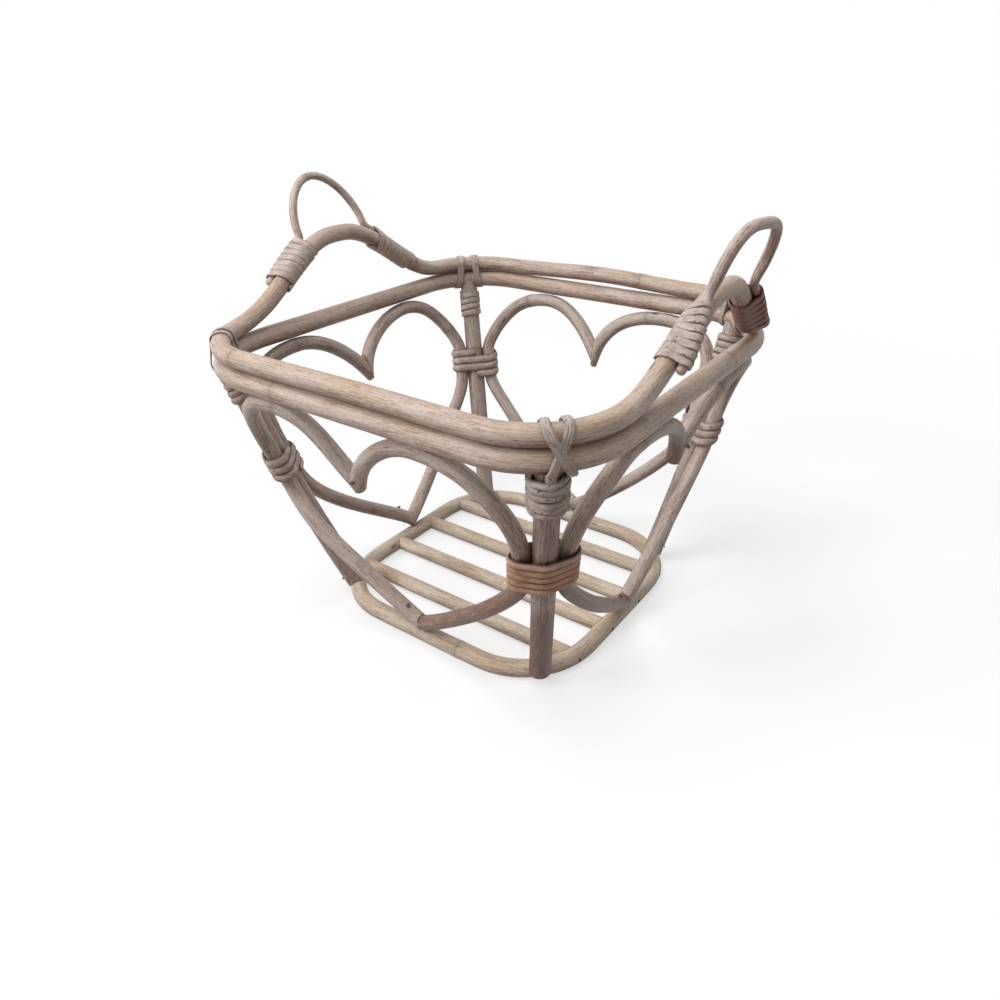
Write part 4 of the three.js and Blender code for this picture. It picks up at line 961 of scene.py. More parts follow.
def seat_beside(route, point, direction, zero):
    """Where a heart cane crosses the plane through a point of the post, in the winding's own frame."""
    heights = (route - point).dot(direction)
    crossings = np.nonzero(heights[:-1] * heights[1:] <= 0)[0]
    first = crossings[np.argmin(np.linalg.norm(route[crossings] - point, axis=1))]
    share = heights[first] / (heights[first] - heights[first + 1])
    offset = lerp(route[first], route[first + 1], share) - point
    return offset.dot(zero), offset.dot(np.cross(direction, zero))


def band_path(corner):
    """A corner band's winding round the post and both heart canes beside it. Its turns lie
    nearly level, and the canes open out below the top one."""
    height, turns = BANDS[corner]
    turns += BAND_TOP_RISE[corner] > BAND_HALF_HEIGHT / 2
    top, foot = height + BAND_HALF_HEIGHT + BAND_TOP_RISE[corner], height - BAND_HALF_HEIGHT
    frame_at = post_frame(corner, top, foot)
    beside = [heart_routes[side, corners.index(corner)]
              for side, corners in HEART_CORNERS.items() if corner in corners]
    length = np.linalg.norm(post_point(corner, top) - post_point(corner, foot))
    pitch = length / (turns + 1)

    def band_frame(share):
        return frame_at((0.5 + share * turns) * pitch / length)

    def circles_at(share):
        point, direction, zero = band_frame(share)
        seats = [(seat_beside(route, point, direction, zero), HEART_RADIUS) for route in beside]
        return grown([((0, 0), POST_RADIUS), *seats], BAND_THICKNESS)

    points, outs = wound(circles_at, band_frame, turns, math.pi, "band" + corner,
                         BAND_SLIP, BAND_LIFT, level=BAND_LEVEL)
    path = softened(spaced(np.column_stack([points, outs]), PEEL_STEP), BAND_EASE)
    return path[:, :3], path[:, 3:], pitch - BAND_TURN_GAP


def post_wrap_path(corner):
    wrap = POST_WRAPS[corner]
    pitch = wrap["length"] / wrap["turns"]
    top = LOWER_RIM_HEIGHT - LOWER_RIM_RADIUS - TIE_CLEARANCE - POST_WRAP_GAP - (pitch - TURN_GAP) / 2
    circles = grown([((0, 0), POST_RADIUS)], wrap["thickness"])
    frame_at = post_frame(corner, top, top - wrap["length"])
    points, outs = wound(lambda share: circles, frame_at, wrap["turns"], POST_WRAP_START, "wrap" + corner,
                         wrap["loose"] * WRAP_SLIP_SHARE, wrap["loose"], wrap["droop"])
    left = 1 - np.linspace(0, 1, len(points))
    facing = outs.dot(corner_outward(corner))
    points += (wrap["rise"] * left * np.clip(facing, 0, 1))[:, None] * UP
    if corner == LAPPED_CORNER:
        over = smoothstep(facing, *WRAP_OVER_FACING) * smoothstep(points[:, 2], *WRAP_OVER_HEIGHTS)
        points += (TIES[corner]["thickness"] * over)[:, None] * outs
    return points, outs, pitch + wrap["rise"] / wrap["turns"] - POST_WRAP_TURN_GAP


def tie_lead(corner, thickness):
    """The stretch of the nearest tie that comes up in front of the post, from under its wrap."""
    points, outs = [], []
    aside = math.asin(TIE_START_ASIDE / (POST_RADIUS + CLEARANCE))
    tops = np.linspace(TIE_START_HEIGHT, LOWER_RIM_HEIGHT - LOWER_RIM_RADIUS - 1, TIE_LEAD_STEPS + 1)
    for height in tops:
        low, high = post_point(corner, height - 1), post_point(corner, height + 1)
        rise = unit(high - low)
        outward = corner_outward(corner)
        normal = unit(outward - outward.dot(rise) * rise)
        out = math.cos(aside) * normal + math.sin(aside) * np.cross(rise, normal)
        points.append((low + high) / 2 + (POST_RADIUS + CLEARANCE + thickness / 2) * out)
        outs.append(out)
    return points, outs


def tie_path(corner):
    """One strand looped twice over both rims; the second crossing lies over the first."""
    x, y = CORNERS[corner]
    outward = corner_outward(corner)
    along = np.cross(UP, outward)
    bend_radius = RIM_CORNERS[corner]
    centre = corner_point(corner, LOWER_RIM_HEIGHT) - bend_radius * outward
    thickness, top_spread = TIES[corner]["thickness"], TIES[corner]["spread"]
    rims = [((0, 0), LOWER_RIM_RADIUS), ((0, UPPER_RIM_HEIGHT - LOWER_RIM_HEIGHT), UPPER_RIM_RADIUS)]
    circles = grown(rims, thickness)
    from_post = corner == LAPPED_CORNER
    lift = thickness * TIE_LIFT
    foot_shift = x * y * POST_SWAYS[corner]
    top_shift = foot_shift if corner == FOLLOWED_CORNER else 0
    low = outline_at(circles, -TIE_CROSSING)[1][1]
    high = outline_at(circles, TIE_CROSSING)[1][1]
    points, outs = tie_lead(corner, thickness) if from_post else ([], [])
    for angle in winding_angles(circles, -TIE_CROSSING * (TIE_START_SHARE if from_post else 1), TIE_FINISH):
        _, place, facing = outline_at(circles, angle)
        share = np.clip((place[1] - low) / (high - low), 0, 1)
        crossing_now = math.cos(angle) > math.cos(TIE_CROSSING) - 1e-9
        second = angle > math.pi
        half = -1 if angle > 2 * math.pi else 1
        top_half = -1 if crossing_now and second else half
        foot_half = -top_half if crossing_now else half
        foot = foot_half * TIE_FOOT_SPREAD + foot_shift
        if from_post and not second and crossing_now:
            foot = foot_shift + TIE_START_ASIDE
        spread = lerp(foot, top_half * top_spread + top_shift, share)
        over = lift * smoothstep(min(share, 1 - share), 0, TIE_LIFT_SLOPE) if crossing_now and second else 0
        turn = spread / bend_radius
        radial = math.cos(turn) * outward + math.sin(turn) * along
        points.append(centre + (bend_radius + place[0] + over) * radial + place[1] * UP)
        outs.append(facing[0] * radial + facing[1] * UP)
    return np.array(points), np.array(outs)


def handle_wrap_path(side, leg):
    shape, wrap = HANDLES[side]["legs"][leg], HANDLE_WRAPS[side, leg]
    sign = -1 if leg == "front" else 1
    places = sign * np.linspace(shape["top"] + wrap["setback"], shape["end"], WRAP_STEPS + 1)
    distances = travelled(np.array([hump_point(side, y) for y in places]))

    def frame_at(share):
        y = np.interp(share * distances[-1], distances, places)
        point = hump_point(side, y)
        direction = sign * unit(hump_point(side, y + 0.5) - hump_point(side, y - 0.5))
        zero = seat_direction(side, leg, y)
        return point, direction, unit(zero - zero.dot(direction) * direction)

    circles = grown([((0, 0), UPPER_RIM_RADIUS), ((HANDLE_SEAT, 0), HANDLE_RADIUS)], HANDLE_WRAP_THICKNESS)
    points, outs = wound(lambda share: circles, frame_at, wrap["turns"], math.pi, side + leg,
                         wrap["loose"], wrap["loose"])
    return points, outs, distances[-1] / wrap["turns"] + HANDLE_WRAP_OVERLAP


# Nails

def wire_nail():
    """A wire nail of unit length along -Z: flat head, eased edge, and a cut point."""
    bpy.ops.object.select_all(action="DESELECT")
    bpy.ops.mesh.primitive_cylinder_add(vertices=16, radius=SHANK_RADIUS * MM, depth=1, location=(0, 0, -0.5))
    nail = bpy.context.object
    bpy.ops.object.transform_apply(location=True, rotation=True, scale=True)
    pick_nothing(False, False, True)
    for face in nail.data.polygons:
        face.select = face.normal.z > 0.9
    bpy.ops.object.mode_set(mode="EDIT")
    height = 0
    for rise, width in NAIL_RINGS:
        height += rise * MM
        bpy.ops.mesh.extrude_region_move(TRANSFORM_OT_translate={"value": (0, 0, rise * MM)})
        bpy.ops.transform.resize(value=(width, width, 1), center_override=(0, 0, height))
    bpy.ops.object.mode_set(mode="OBJECT")
    pick_nothing(False, False, True)
    for face in nail.data.polygons:
        face.select = face.normal.z < -0.9 and abs(face.center.z + 1) < 0.01
    bpy.ops.object.mode_set(mode="EDIT")
    bpy.ops.transform.resize(value=(NAIL_POINT_WIDTH, NAIL_POINT_WIDTH, 1), center_override=(0, 0, -1))
    bpy.ops.object.mode_set(mode="OBJECT")
    bpy.ops.object.shade_smooth_by_angle(angle=math.radians(40))
    return nail


def place_nail(pattern, name, node):
    """A copy of the nail on its CAD node's axis: the node's one far vertex is its point."""
    solid = coordinates(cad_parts[node].data)
    far = solid[np.argmax(np.linalg.norm(solid - solid.mean(0), axis=1))]
    distances = np.linalg.norm(solid - far, axis=1)
    crown = solid[distances > distances.max() - 0.4 * MM].mean(0)
    axis = unit(crown - far)
    top = crown - NAIL_SINK * MM * axis
    length = np.linalg.norm(top - far)
    nail = pattern.copy()
    nail.data = pattern.data.copy()
    nail.name = nail.data.name = name
    bpy.context.scene.collection.objects.link(nail)
    points = coordinates(nail.data)
    shank = points[:, 2] < -0.5
    points[shank, 2] += 1 - length
    turn = Vector((0, 0, 1)).rotation_difference(Vector(axis)).to_matrix()
    set_coordinates(nail.data, points @ np.array(turn).T + top)
    return nail


# Finishes

def linear(code):
    """The linear colour of an sRGB hex value."""
    values = [int(code[i:i + 2], 16) / 255 for i in (1, 3, 5)]
    return [v / 12.92 if v <= 0.04045 else ((v + 0.055) / 1.055) ** 2.4 for v in values] + [1.0]


NODE_SETTINGS = {"MapRange": {"interpolation_type": "SMOOTHSTEP"}, "Mix": {"data_type": "RGBA"}}


def add(tree, kind, *values, take="", named=(), **settings):
    """Adds a node with its settings and links, and returns one of its outputs. Values without a
    name go to the sockets in use, in their order."""
    node = tree.nodes.new("ShaderNode" + kind)
    for name, value in {**NODE_SETTINGS.get(kind, {}), **settings}.items():
        setattr(node, name, value)
    sockets = [socket for socket in node.inputs if socket.enabled]
    chosen = [(node.inputs[name], value) for name, value in dict(named).items()]
    for socket, value in [*zip(sockets, values), *chosen]:
        if isinstance(value, bpy.types.NodeSocket):
            tree.links.new(value, socket)
        else:
            socket.default_value = value
    outputs = {socket.name: socket for socket in node.outputs if socket.enabled}
    return outputs.get(take, next(iter(outputs.values()), None))


def streaks(tree, grain, across, along, detail=3.0, shift=0.0):
    """Pattern drawn out along the cane, with its size across and along in millimetres."""
    scale = (1 / (across * MM), 1 / (across * MM), 1 / (along * MM))
    place = add(tree, "VectorMath", grain, scale, (shift, shift, shift), operation="MULTIPLY_ADD")
    return add(tree, "TexNoise", named={"Vector": place, "Scale": 1.0, "Detail": detail, "Roughness": 0.6})


def finish_tree(name):
    material = bpy.data.materials.new(name)
    material.use_nodes = True
    tree = material.node_tree
    tree.nodes.clear()
    return material, tree


def cane_finish(name, skin, dark, wash, warm, red, washed, warmed):
    """Rattan cane with its skin on, whitewashed and worn: the pale wash stays in the long
    grain, and the brown skin shows through at the growth joints and in warm patches.
    Downward faces are coloured redder and darker, with less wash, as painted shade."""
    material, tree = finish_tree(name)
    grain = add(tree, "Attribute", take="Vector", attribute_name="grain")
    from_joint, wear, cut = (add(tree, "Attribute", take="Fac", attribute_name=kept)
                             for kept in ("from_joint", "wear", "cut"))
    facing = add(tree, "SeparateXYZ", add(tree, "NewGeometry", take="Normal"), take="Z")

    # The skin's fibres are 0.2 to 0.5 mm wide. They are drawn at 0.35 and 0.8 mm, up to 18 mm
    # long, because finer ones don't show
    fibre = streaks(tree, grain, 0.8, 18, detail=5.0)
    grit = streaks(tree, grain, 1.0, 2.6, detail=2.0, shift=4.4)
    fine = streaks(tree, grain, 0.35, 4, detail=5.0, shift=3.1)
    patch = streaks(tree, grain, 6, 40, detail=4.0, shift=7.7)
    broad = streaks(tree, grain, 24, 60, shift=1.3)
    dash = streaks(tree, grain, 0.45, 4.5, detail=1.0, shift=5.9)
    fleck = streaks(tree, grain, 0.5, 12, detail=1.0, shift=9.2)

    # The skin is darker in the grain, ochre in patches on top, reddish where it is worn, and redder on
    # downward faces as painted shade
    bright = add(tree, "MapRange", fibre, 0.28, 0.6)
    upward = add(tree, "MapRange", facing, -0.1, 0.7)
    warm_share = add(tree, "MapRange", broad, 0.4, 0.62, 0.0, warmed)
    warm_share = add(tree, "Math", warm_share, upward, operation="MULTIPLY")
    # Painted shade: downward-facing skin turns redder and darker; the same red also marks real wear
    below = add(tree, "MapRange", facing, -0.7, 0.15, 0.75, 0.0)
    worn_through = add(tree, "MapRange", wear, 0.08, 0.9, 0.0, 0.9)
    red_wear_and_underside_shade = add(tree, "Math", below, worn_through, operation="MAXIMUM")
    red_grain = add(tree, "Mix", bright, linear(dark), linear(red))
    colour = add(tree, "Mix", bright, linear(dark), linear(skin))
    colour = add(tree, "Mix", warm_share, colour, linear(warm))
    colour = add(tree, "Mix", red_wear_and_underside_shade, colour, red_grain)

    # The wash is thinner in patches, in the grain, on the ochre and where it is worn, and thinner on downward
    # faces as painted shade
    amount = add(tree, "MapRange", patch, 0.28, 0.72, washed - 0.26, washed + 0.2)
    for change in (add(tree, "MapRange", fine, 0.3, 0.68, -0.3, 0.24),
                   add(tree, "MapRange", fibre, 0.3, 0.65, -0.22, 0.16),
                   add(tree, "MapRange", grit, 0.34, 0.66, -0.16, 0.14),
                   # painted shade: less wash on downward faces, so the undersides read darker
                   add(tree, "MapRange", facing, -0.8, 0.35, -0.5, 0.0),
                   add(tree, "Math", warm_share, -0.45, operation="MULTIPLY"),
                   add(tree, "Math", wear, -0.7, operation="MULTIPLY")):
        amount = add(tree, "Math", amount, change, operation="ADD")
    amount = add(tree, "Clamp", amount, 0.0, 1.0)

    # A growth joint is a thin dark line with a worn band beside it
    wobble = add(tree, "MapRange", patch, 0.2, 0.8, -0.0012, 0.0012)
    wavy = add(tree, "Math", from_joint, wobble, operation="ADD")
    distance = add(tree, "Math", wavy, operation="ABSOLUTE")
    line = add(tree, "MapRange", distance, 0.0003, 0.0012, 0.55, 0.0)
    beside = add(tree, "MapRange", distance, 0.001, 0.007, 0.2, 0.0)
    joint = add(tree, "Math", line, beside, operation="MAXIMUM")

    # Brown scars of about 2 by 7 mm, one in some 18 by 60 mm of skin
    scattered = add(tree, "VectorMath", grain, (1 / 0.018, 1 / 0.018, 1 / 0.06), operation="MULTIPLY")
    scar = add(tree, "TexVoronoi", named={"Vector": scattered, "Scale": 1.0}, take="Distance")

    # A sawn end shows the pith: paler, with the vessels as fine dots of 0.4 mm
    vessels = add(tree, "TexVoronoi", named={"Vector": grain, "Scale": 1600.0}, take="Distance")
    pith = add(tree, "Mix", add(tree, "MapRange", vessels, 0.15, 0.4), linear("#6b4d38"), linear("#bfa07c"))

    # Over the wash lie thin pale runs, and dark pores in dashes of about 4 mm
    pores = add(tree, "MapRange", dash, 0.66, 0.75, 0.0, 0.55)
    for share, cover in ((amount, linear(wash)),
                         (add(tree, "MapRange", fleck, 0.62, 0.72, 0.0, 0.3), linear("#ddd2c8")),
                         (pores, linear("#5a4238")),
                         (joint, linear(dark)),
                         (add(tree, "MapRange", scar, 0.04, 0.09, 0.8, 0.0), linear("#4f362b")),
                         (add(tree, "MapRange", cut, 0.45, 0.6), pith)):
        colour = add(tree, "Mix", share, colour, cover)

    height = relief(tree, ((fibre, 0.6), (fine, 0.4), (pores, -0.6), (grit, 0.5)), 0.7)
    surface = add(tree, "BsdfPrincipled", named={
        "Base Color": colour, "Roughness": add(tree, "MapRange", amount, 0.0, 1.0, 0.42, 0.55),
        "Normal": height, "Specular IOR Level": 0.45})
    add(tree, "OutputMaterial", surface)
    return material


def relief(tree, layers, strength):
    """A bump of about half a millimetre, from patterns and their shares of its height."""
    height = 0.0
    for pattern, share in layers:
        part = add(tree, "Math", pattern, share, operation="MULTIPLY")
        height = add(tree, "Math", part, height, operation="ADD")
    return add(tree, "Bump", named={"Strength": strength, "Distance": 0.0005, "Height": height})


def peel_finish(name, skin, dark, wash, washed, pits, crease_shade, first=0.0):
    """Split peel of rattan, washed with the canes: fibrous and blotched, with painted shade
    that darkens its edges in the creases between the turns."""
    material, tree = finish_tree(name)
    grain = add(tree, "Attribute", take="Vector", attribute_name="grain")
    rim, laid = (add(tree, "Attribute", take="Fac", attribute_name=kept) for kept in ("rim", "laid"))
    facing = add(tree, "SeparateXYZ", add(tree, "NewGeometry", take="Normal"), take="Z")

    # Fibres some 9 mm long, drawn 0.55 mm wide because finer ones don't show, and wash that
    # has dried in blots of 3 to 8 mm
    fibre = streaks(tree, grain, 0.55, 9, detail=4.0)
    fine = streaks(tree, grain, 0.25, 3, shift=2.3)
    blot = streaks(tree, grain, 3.2, 8, shift=6.1)
    pit = streaks(tree, grain, 1.1, 2.4, detail=1.0, shift=8.4)

    amount = add(tree, "MapRange", blot, 0.28, 0.72, washed - 0.38, washed + 0.3)
    for change in (add(tree, "MapRange", fine, 0.3, 0.7, -0.3, 0.28),
                   # painted shade: less wash on downward faces, so the undersides read darker
                   add(tree, "MapRange", facing, -0.75, 0.35, -0.35, 0.0),
                   add(tree, "MapRange", laid, 0.15, 0.35, first, 0.0)):
        amount = add(tree, "Math", amount, change, operation="ADD")
    amount = add(tree, "Clamp", amount, 0.0, 1.0)
    # Painted shade: the strip's edges are darkened where the turns meet in creases
    crease_shade_share = add(tree, "MapRange", blot, 0.35, 0.6, crease_shade * 0.6, crease_shade)
    edge = add(tree, "Math", add(tree, "MapRange", rim, 0.5, 0.95), crease_shade_share, operation="MULTIPLY")
    pitted = add(tree, "MapRange", pit, 0.68 - pits, 0.76 - pits, 0.0, 0.8)

    colour = add(tree, "Mix", add(tree, "MapRange", fibre, 0.22, 0.55), linear(dark), linear(skin))
    for share, cover in ((amount, wash), (edge, dark), (pitted, "#46332b")):
        colour = add(tree, "Mix", share, colour, linear(cover))
    surface = add(tree, "BsdfPrincipled", named={
        "Base Color": colour, "Roughness": add(tree, "MapRange", amount, 0.0, 1.0, 0.55, 0.75),
        "Normal": relief(tree, ((fibre, 0.7), (fine, 0.35), (pitted, -0.8)), 0.8),
        "Specular IOR Level": 0.3})
    add(tree, "OutputMaterial", surface)
    return material


def nail_finish(name, steel, rusted, metal):
    """Drawn steel wire with a thin brown rust: dull metal that the rust darkens in blots. On
    some nails the canes' wash covers it."""
    material, tree = finish_tree(name)
    place = add(tree, "TexCoord", take="Object")
    # Rust in blots of about 0.7 mm
    blot = add(tree, "TexNoise", named={"Vector": place, "Scale": 1400.0, "Detail": 3.0})
    rust = add(tree, "MapRange", blot, 0.42, 0.6)
    surface = add(tree, "BsdfPrincipled", named={
        "Base Color": add(tree, "Mix", rust, linear(steel), linear(rusted)),
        "Metallic": add(tree, "MapRange", rust, 0.0, 1.0, metal, metal / 10),
        "Roughness": add(tree, "MapRange", rust, 0.0, 1.0, 0.5, 0.85),
        "Normal": add(tree, "Bump", named={"Strength": 0.4, "Distance": 0.0001, "Height": blot})})
    add(tree, "OutputMaterial", surface)
    return material


# Canes, from the yellowest to the pinkest: the base's, the rims', the posts', the hearts' and
# the handles'
ring_cane = cane_finish("whitewashed_ring_cane", skin="#ab9078", dark="#6d5242", wash="#d4c7b5",
                        warm="#c4a57d", red="#7d5a49", washed=0.66, warmed=0.45)
rim_cane = cane_finish("whitewashed_rim_cane", skin="#a68876", dark="#664c40", wash="#cdbeb2",
                       warm="#be9f7a", red="#83594a", washed=0.62, warmed=0.55)
post_cane = cane_finish("whitewashed_post_cane", skin="#8a6d61", dark="#4d3a33", wash="#bcada4",
                        warm="#a4806a", red="#6e4436", washed=0.55, warmed=0.3)
heart_cane = cane_finish("whitewashed_heart_cane", skin="#957969", dark="#533e35", wash="#c7bab1",
                         warm="#ab8768", red="#735243", washed=0.6, warmed=0.4)
handle_cane = cane_finish("whitewashed_handle_cane", skin="#a68a7c", dark="#5f483e", wash="#d3c5bc",
                          warm="#b59273", red="#805c4d", washed=0.66, warmed=0.4)
# Peel, grey and dull under the wash, and brown or reddish where hands have worn the wash off. The red-brown
# peel is darker than its wear alone, as painted shade
grey_peel = peel_finish("washed_grey_peel", "#997f71", "#45312a", "#c7bab1", 0.6, 0.04, 0.75)
# The grey peel with the most painted shade darkening its edges in the creases between turns
crease_shaded_peel = peel_finish("creased_grey_peel", "#967e74", "#3a2a26", "#cdc3bc", 0.62, 0.06, 1.0)
white_peel = peel_finish("whitewashed_peel", "#a48a7c", "#64504a", "#cfc2b9", 0.64, 0.02, 0.3)
speckled_peel = peel_finish("speckled_white_peel", "#9f877b", "#66534c", "#cbbfb7", 0.6, 0.035, 0.1)
tie_peel = peel_finish("washed_tie_peel", "#9c8b81", "#63534b", "#c9bdb4", 0.6, 0.04, 0.3)
brown_peel = peel_finish("worn_brown_peel", "#b08267", "#3c2118", "#c6aa98", 0.34, 0.02, 1.0, 0.5)
# Real red skin where the wash is worn off, made darker still as painted shade of the wrap's shaded underside
pink_peel = peel_finish("worn_red_brown_peel", "#7d584b", "#4c3229", "#ab8f81", 0.3, 0.06, 0.5)
# Wire nails, dark with rust where they are bare, and dull and pale under the wash
nail_steel = nail_finish("rusted_wire_nail", "#57493f", "#3a241b", 0.6)
washed_steel = nail_finish("washed_wire_nail", "#8d7b6e", "#6a5448", 0.1)


# The basket's pieces

def settle(piece, node, finish):
    """Gives a piece its finish, and puts it in the place of its CAD node."""
    piece.data.materials.clear()
    piece.data.materials.append(finish)
    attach(piece, "root")
    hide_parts(node)


def beyond_cane(route, radius):
    """Tells which points lie inside another cane or too near to it."""
    return lambda points: nearest_gap(points, route) < radius + CLEARANCE


def ring_across(y):
    """The base ring's distance from the middle along X, at a place along Y."""
    into_corner = max(0, abs(y) - (RING_HALF_WIDTH - RING_CORNER))
    return RING_HALF_LENGTH - RING_CORNER + math.sqrt(RING_CORNER ** 2 - into_corner ** 2)


def ring_stretch(near, axis, end):
    """The base ring's route where it is near a cane, on one side of an axis and in order along the other."""
    stretch = ring_route[near & (np.sign(ring_route[:, axis]) == end)]
    return stretch[np.argsort(stretch[:, 1 - axis])]


def by_corner(route, corner):
    middle = corner_point(corner, route[0][2])[:2]
    return route[np.linalg.norm(route[:, :2] - middle, axis=1) < CORNER_REACH]


ring_route = base_ring_route()
lower_route = lower_rim_route()
upper_route = upper_rim_route()

# Base ring, flat where it stands on the floor
ring = bent_cane("base_ring", ring_route, RING_RADIUS, closed=True)
points = coordinates(ring.data)
points[:, 2] = np.maximum(points[:, 2], 0)
set_coordinates(ring.data, points)
close_seams(ring)
settle(ring, "base_ring", ring_cane)

# Rims
for node, route, radius in (("lower_rim", lower_route, LOWER_RIM_RADIUS),
                            ("upper_rim", upper_route, UPPER_RIM_RADIUS)):
    rim = bent_cane(node, route, radius, closed=True)
    close_seams(rim)
    settle(rim, node, rim_cane)

# Base slats, coped to the ring at both ends
for index in range(SLAT_COUNT):
    node = f"base_slat_{index + 1}"
    y = (index - (SLAT_COUNT - 1) / 2) * SLAT_PITCH
    reach = ring_across(y)
    slat_route = spaced(np.array([[-reach, y, RING_HEIGHT], [reach, y, RING_HEIGHT]]), CANE_STEP)
    slat = bent_cane(node, slat_route, SLAT_DIAMETER / 2)
    for end, from_end in ((-1, slat_route), (1, slat_route[::-1])):
        side_route = ring_stretch(np.abs(ring_route[:, 1] - y) < SLAT_REACH, 0, end)
        cope(slat, from_end, SLAT_COPE, beyond_cane(side_route, RING_RADIUS))
    close_seams(slat)
    settle(slat, node, ring_cane)

# Corner posts, coped to the lower rim and to the base ring
for corner in CORNERS:
    node = "corner_post_" + corner
    lapped = corner == LAPPED_CORNER
    foot = -POST_RADIUS if lapped else RING_HEIGHT + POST_LIP
    heights = np.linspace(foot, LOWER_RIM_HEIGHT - POST_LIP, POST_STEPS + 1)
    post_route = spaced(np.array([post_point(corner, height) for height in heights]), CANE_STEP)
    post = bent_cane(node, post_route, POST_RADIUS)
    cope(post, post_route[::-1], POST_COPE, beyond_cane(by_corner(lower_route, corner), LOWER_RIM_RADIUS))
    on_ring = beyond_cane(by_corner(ring_route, corner), RING_RADIUS)
    if lapped:
        outward = corner_outward(corner)
        ring_middle = corner_point(corner, RING_HEIGHT)
        cope(post, post_route, LAP_COPE, lambda points: (points[:, 2] < LAP_FLOOR_GAP) | on_ring(points) | (
            ((points - ring_middle).dot(outward) < 0) & (points[:, 2] < RING_HEIGHT)))
    else:
        cope(post, post_route, POST_COPE, on_ring)
    close_seams(post)
    settle(post, node, post_cane)

# Heart canes, mitred to each other at the cusp and at the tip, which stands on the ring
heart_routes = {}
for side, (facing, is_long) in SIDES.items():
    axis = 0 if is_long else 1
    near_tip = np.abs(ring_route[:, axis]) < TIP_REACH
    on_ring = beyond_cane(ring_stretch(near_tip, 1 - axis, facing), RING_RADIUS)
    cusp = CUSPS[side][0]
    for index, end in enumerate((-1, 1)):
        node = f"heart_{side}_cane_{HEART_ENDS[side][index]}"
        route = heart_routes[side, index] = heart_route(side, index)
        cane = bent_cane(node, route, HEART_RADIUS)
        cope(cane, route, HEART_COPE, lambda points: end * (points[:, axis] - cusp) < CLEARANCE / 2)
        cope(cane, route[::-1], HEART_COPE,
             lambda points: (end * points[:, axis] < CLEARANCE / 2) | on_ring(points))
        close_seams(cane)
        settle(cane, node, heart_cane)

# Handle loops, thicker where no wrap draws them in
for side in HANDLES:
    node = "handle_loop_" + side
    route = handle_route(side)
    free = smoothstep(nearest_gap(route, upper_route), HANDLE_SEAT + FREE_FROM, HANDLE_SEAT + FREE_TO)
    loop = bent_cane(node, route, HANDLE_RADIUS, sides=LOOP_SIDES, eased=LOOP_END_DEPTH,
                     girth=1 + HANDLES[side]["swell"] * free)
    close_seams(loop)
    settle(loop, node, handle_cane)

# Peel at the corners, whose bands and wraps have worn unevenly
for corner in CORNERS:
    points, outs, width = band_path(corner)
    band = peel("corner_band_" + corner, points, outs, width, BAND_THICKNESS, BAND_CROWN)
    finish, slot = (brown_peel, "pink_peel") if corner == LAPPED_CORNER else (grey_peel, "grey_peel")
    settle(band, "corner_band_" + corner, finish)
    points, outs, width = post_wrap_path(corner)
    wrap = peel("post_wrap_" + corner, points, outs, width,
                POST_WRAPS[corner]["thickness"], POST_WRAPS[corner]["crown"])
    wrap_peel = {"back_left": white_peel, "front_right": crease_shaded_peel}.get(corner, grey_peel)
    settle(wrap, "post_wrap_" + corner, wrap_peel)
    points, outs = tie_path(corner)
    strand = TIES[corner]
    tie = peel("rim_tie_" + corner, points, outs, strand["width"], strand["thickness"],
               TIE_CROWN, strand["fibres"])
    settle(tie, "rim_tie_" + corner, tie_peel)

# Peel on the handles' legs
for (side, leg), shape in HANDLE_WRAPS.items():
    node = f"handle_wrap_{side}_{leg}"
    points, outs, width = handle_wrap_path(side, leg)
    wrap = peel(node, points, outs, width, HANDLE_WRAP_THICKNESS, shape["crown"])
    # The right back leg's wrap takes the red-brown peel, whose darkness is partly painted shade
    wrap_peel = {("right", "back"): pink_peel, ("right", "front"): speckled_peel}.get((side, leg), white_peel)
    settle(wrap, node, wrap_peel)

# Nails, bare at the slats and the tips, and washed elsewhere
pattern = wire_nail()
for node in sorted(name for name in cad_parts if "_nail_" in name):
    nail = place_nail(pattern, "steel_" + node, node)
    bare = "slat" in node or "tip" in node
    settle(nail, node, nail_steel if bare else washed_steel)
bpy.data.objects.remove(pattern)


# Floor, light and camera

def seen_by_camera(tree):
    """One where the camera looks, straight or by way of a reflection."""
    straight, glossy, clear = (
        add(tree, "LightPath", take=ray) for ray in ("Is Camera Ray", "Is Glossy Ray", "Is Transmission Ray"))
    reflected = add(tree, "Math", glossy, clear, operation="MAXIMUM")
    return add(tree, "Math", straight, reflected, operation="MAXIMUM")


# Distances, in metres, over which the floor's shadow fades, and how plain the floor is before that
SHADOW_FADE = (0.3, 1.0)
PLAIN_NEAR = 0.6
FLOOR_RADIUS = 6
SURROUND_STRENGTH = 0.31

bpy.ops.object.select_all(action="DESELECT")
bpy.ops.mesh.primitive_circle_add(vertices=96, radius=FLOOR_RADIUS, fill_type="NGON", location=(0, 0, 0))
floor = bpy.context.object
floor.name = "pale_floor"
floor_finish, tree = finish_tree("pale_floor_paper")
lit = add(tree, "BsdfDiffuse", linear("#ffffff"))
dim = add(tree, "BsdfDiffuse", linear("#a8a29c"))
glow = add(tree, "Emission", (1, 1, 1, 1), 1.0)
# The floor shows the shadow near the basket and turns plain white further out. It throws
# little light back up, so that the canes stay darker below
distance = add(tree, "VectorMath", add(tree, "TexCoord", take="Object"), operation="LENGTH")
shadowless = add(tree, "MapRange", distance, *SHADOW_FADE, PLAIN_NEAR, 1.0)
pale = add(tree, "MixShader", shadowless, lit, glow)
add(tree, "OutputMaterial", add(tree, "MixShader", seen_by_camera(tree), dim, pale))
floor.data.materials.append(floor_finish)

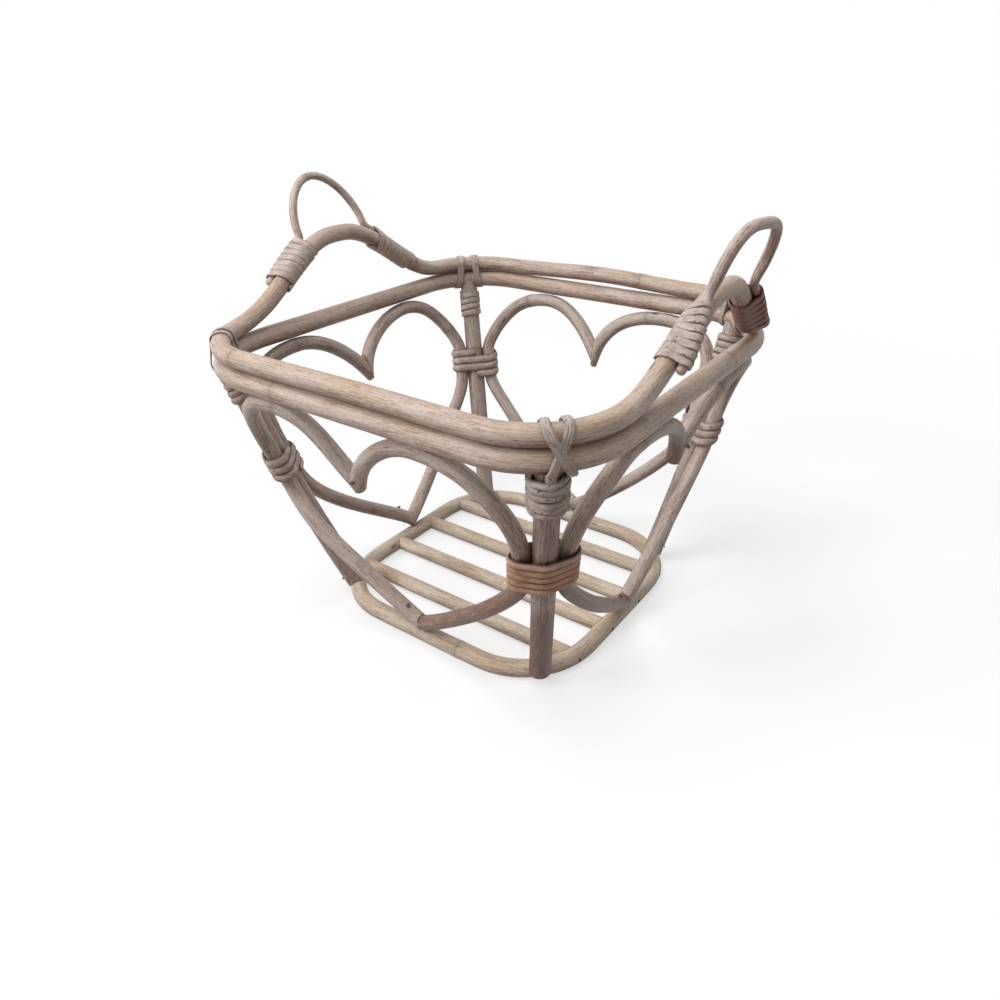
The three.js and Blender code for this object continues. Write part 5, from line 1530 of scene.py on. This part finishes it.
world = bpy.data.worlds.new("studio")
bpy.context.scene.world = world
world.use_nodes = True
tree = world.node_tree
tree.nodes.clear()
surround = add(tree, "Background", (1, 1, 1, 1), SURROUND_STRENGTH)
backdrop = add(tree, "Background", (1, 1, 1, 1), 1.0)
add(tree, "OutputWorld", add(tree, "MixShader", seen_by_camera(tree), surround, backdrop))


# Where the lamps point, in metres
LAMP_AIM = (0, 0, 0.13)


def soft_lamp(name, place, size, power):
    lamp = bpy.data.lights.new(name, "AREA")
    lamp.size = size
    lamp.energy = power
    holder = bpy.data.objects.new(name, lamp)
    bpy.context.scene.collection.objects.link(holder)
    holder.location = place
    aim = Vector(LAMP_AIM) - Vector(place)
    holder.rotation_euler = aim.to_track_quat("-Z", "Y").to_euler()


soft_lamp("overhead", place=(-0.3, -0.6, 2.2), size=1.3, power=29)
soft_lamp("left", place=(-1.3, -1.6, 1.2), size=1.0, power=28)
soft_lamp("rear", place=(0.3, 1.7, 1.7), size=1.4, power=9)

# The camera that took the photo, as fitted to it: millimetres from the basket, and pixels of the picture
AZIMUTH, ELEVATION, ROLL = math.radians(35.428), math.radians(25.438), math.radians(-1.154)
DISTANCE = 645.55
TARGET = np.array([22.17, 16.82, 131.84])
FOCAL_PIXELS = 776.33
PICTURE_PIXELS = 1000
CENTRE_PIXELS = (536.43, 441.07)
SENSOR_WIDTH = 36

back = np.array([math.sin(AZIMUTH) * math.cos(ELEVATION), -math.cos(AZIMUTH) * math.cos(ELEVATION),
                 math.sin(ELEVATION)])
level = np.array([math.cos(AZIMUTH), math.sin(AZIMUTH), 0])
rising = np.cross(back, level)
right = math.cos(ROLL) * level + math.sin(ROLL) * rising
up = math.cos(ROLL) * rising - math.sin(ROLL) * level
lens = bpy.data.cameras.new("photo_view")
lens.sensor_width = SENSOR_WIDTH
lens.lens = FOCAL_PIXELS / PICTURE_PIXELS * SENSOR_WIDTH
lens.shift_x = (PICTURE_PIXELS / 2 - CENTRE_PIXELS[0]) / PICTURE_PIXELS
lens.shift_y = (CENTRE_PIXELS[1] - PICTURE_PIXELS / 2) / PICTURE_PIXELS
lens.clip_start = 0.01
camera = bpy.data.objects.new("photo_view", lens)
bpy.context.scene.collection.objects.link(camera)
pose = np.identity(4)
pose[:3, :3] = np.column_stack([right, up, back])
pose[:3, 3] = (TARGET + DISTANCE * back) * MM
camera.matrix_world = Matrix(pose.tolist())
bpy.context.scene.camera = camera
bpy.context.scene.view_settings.view_transform = "Standard"
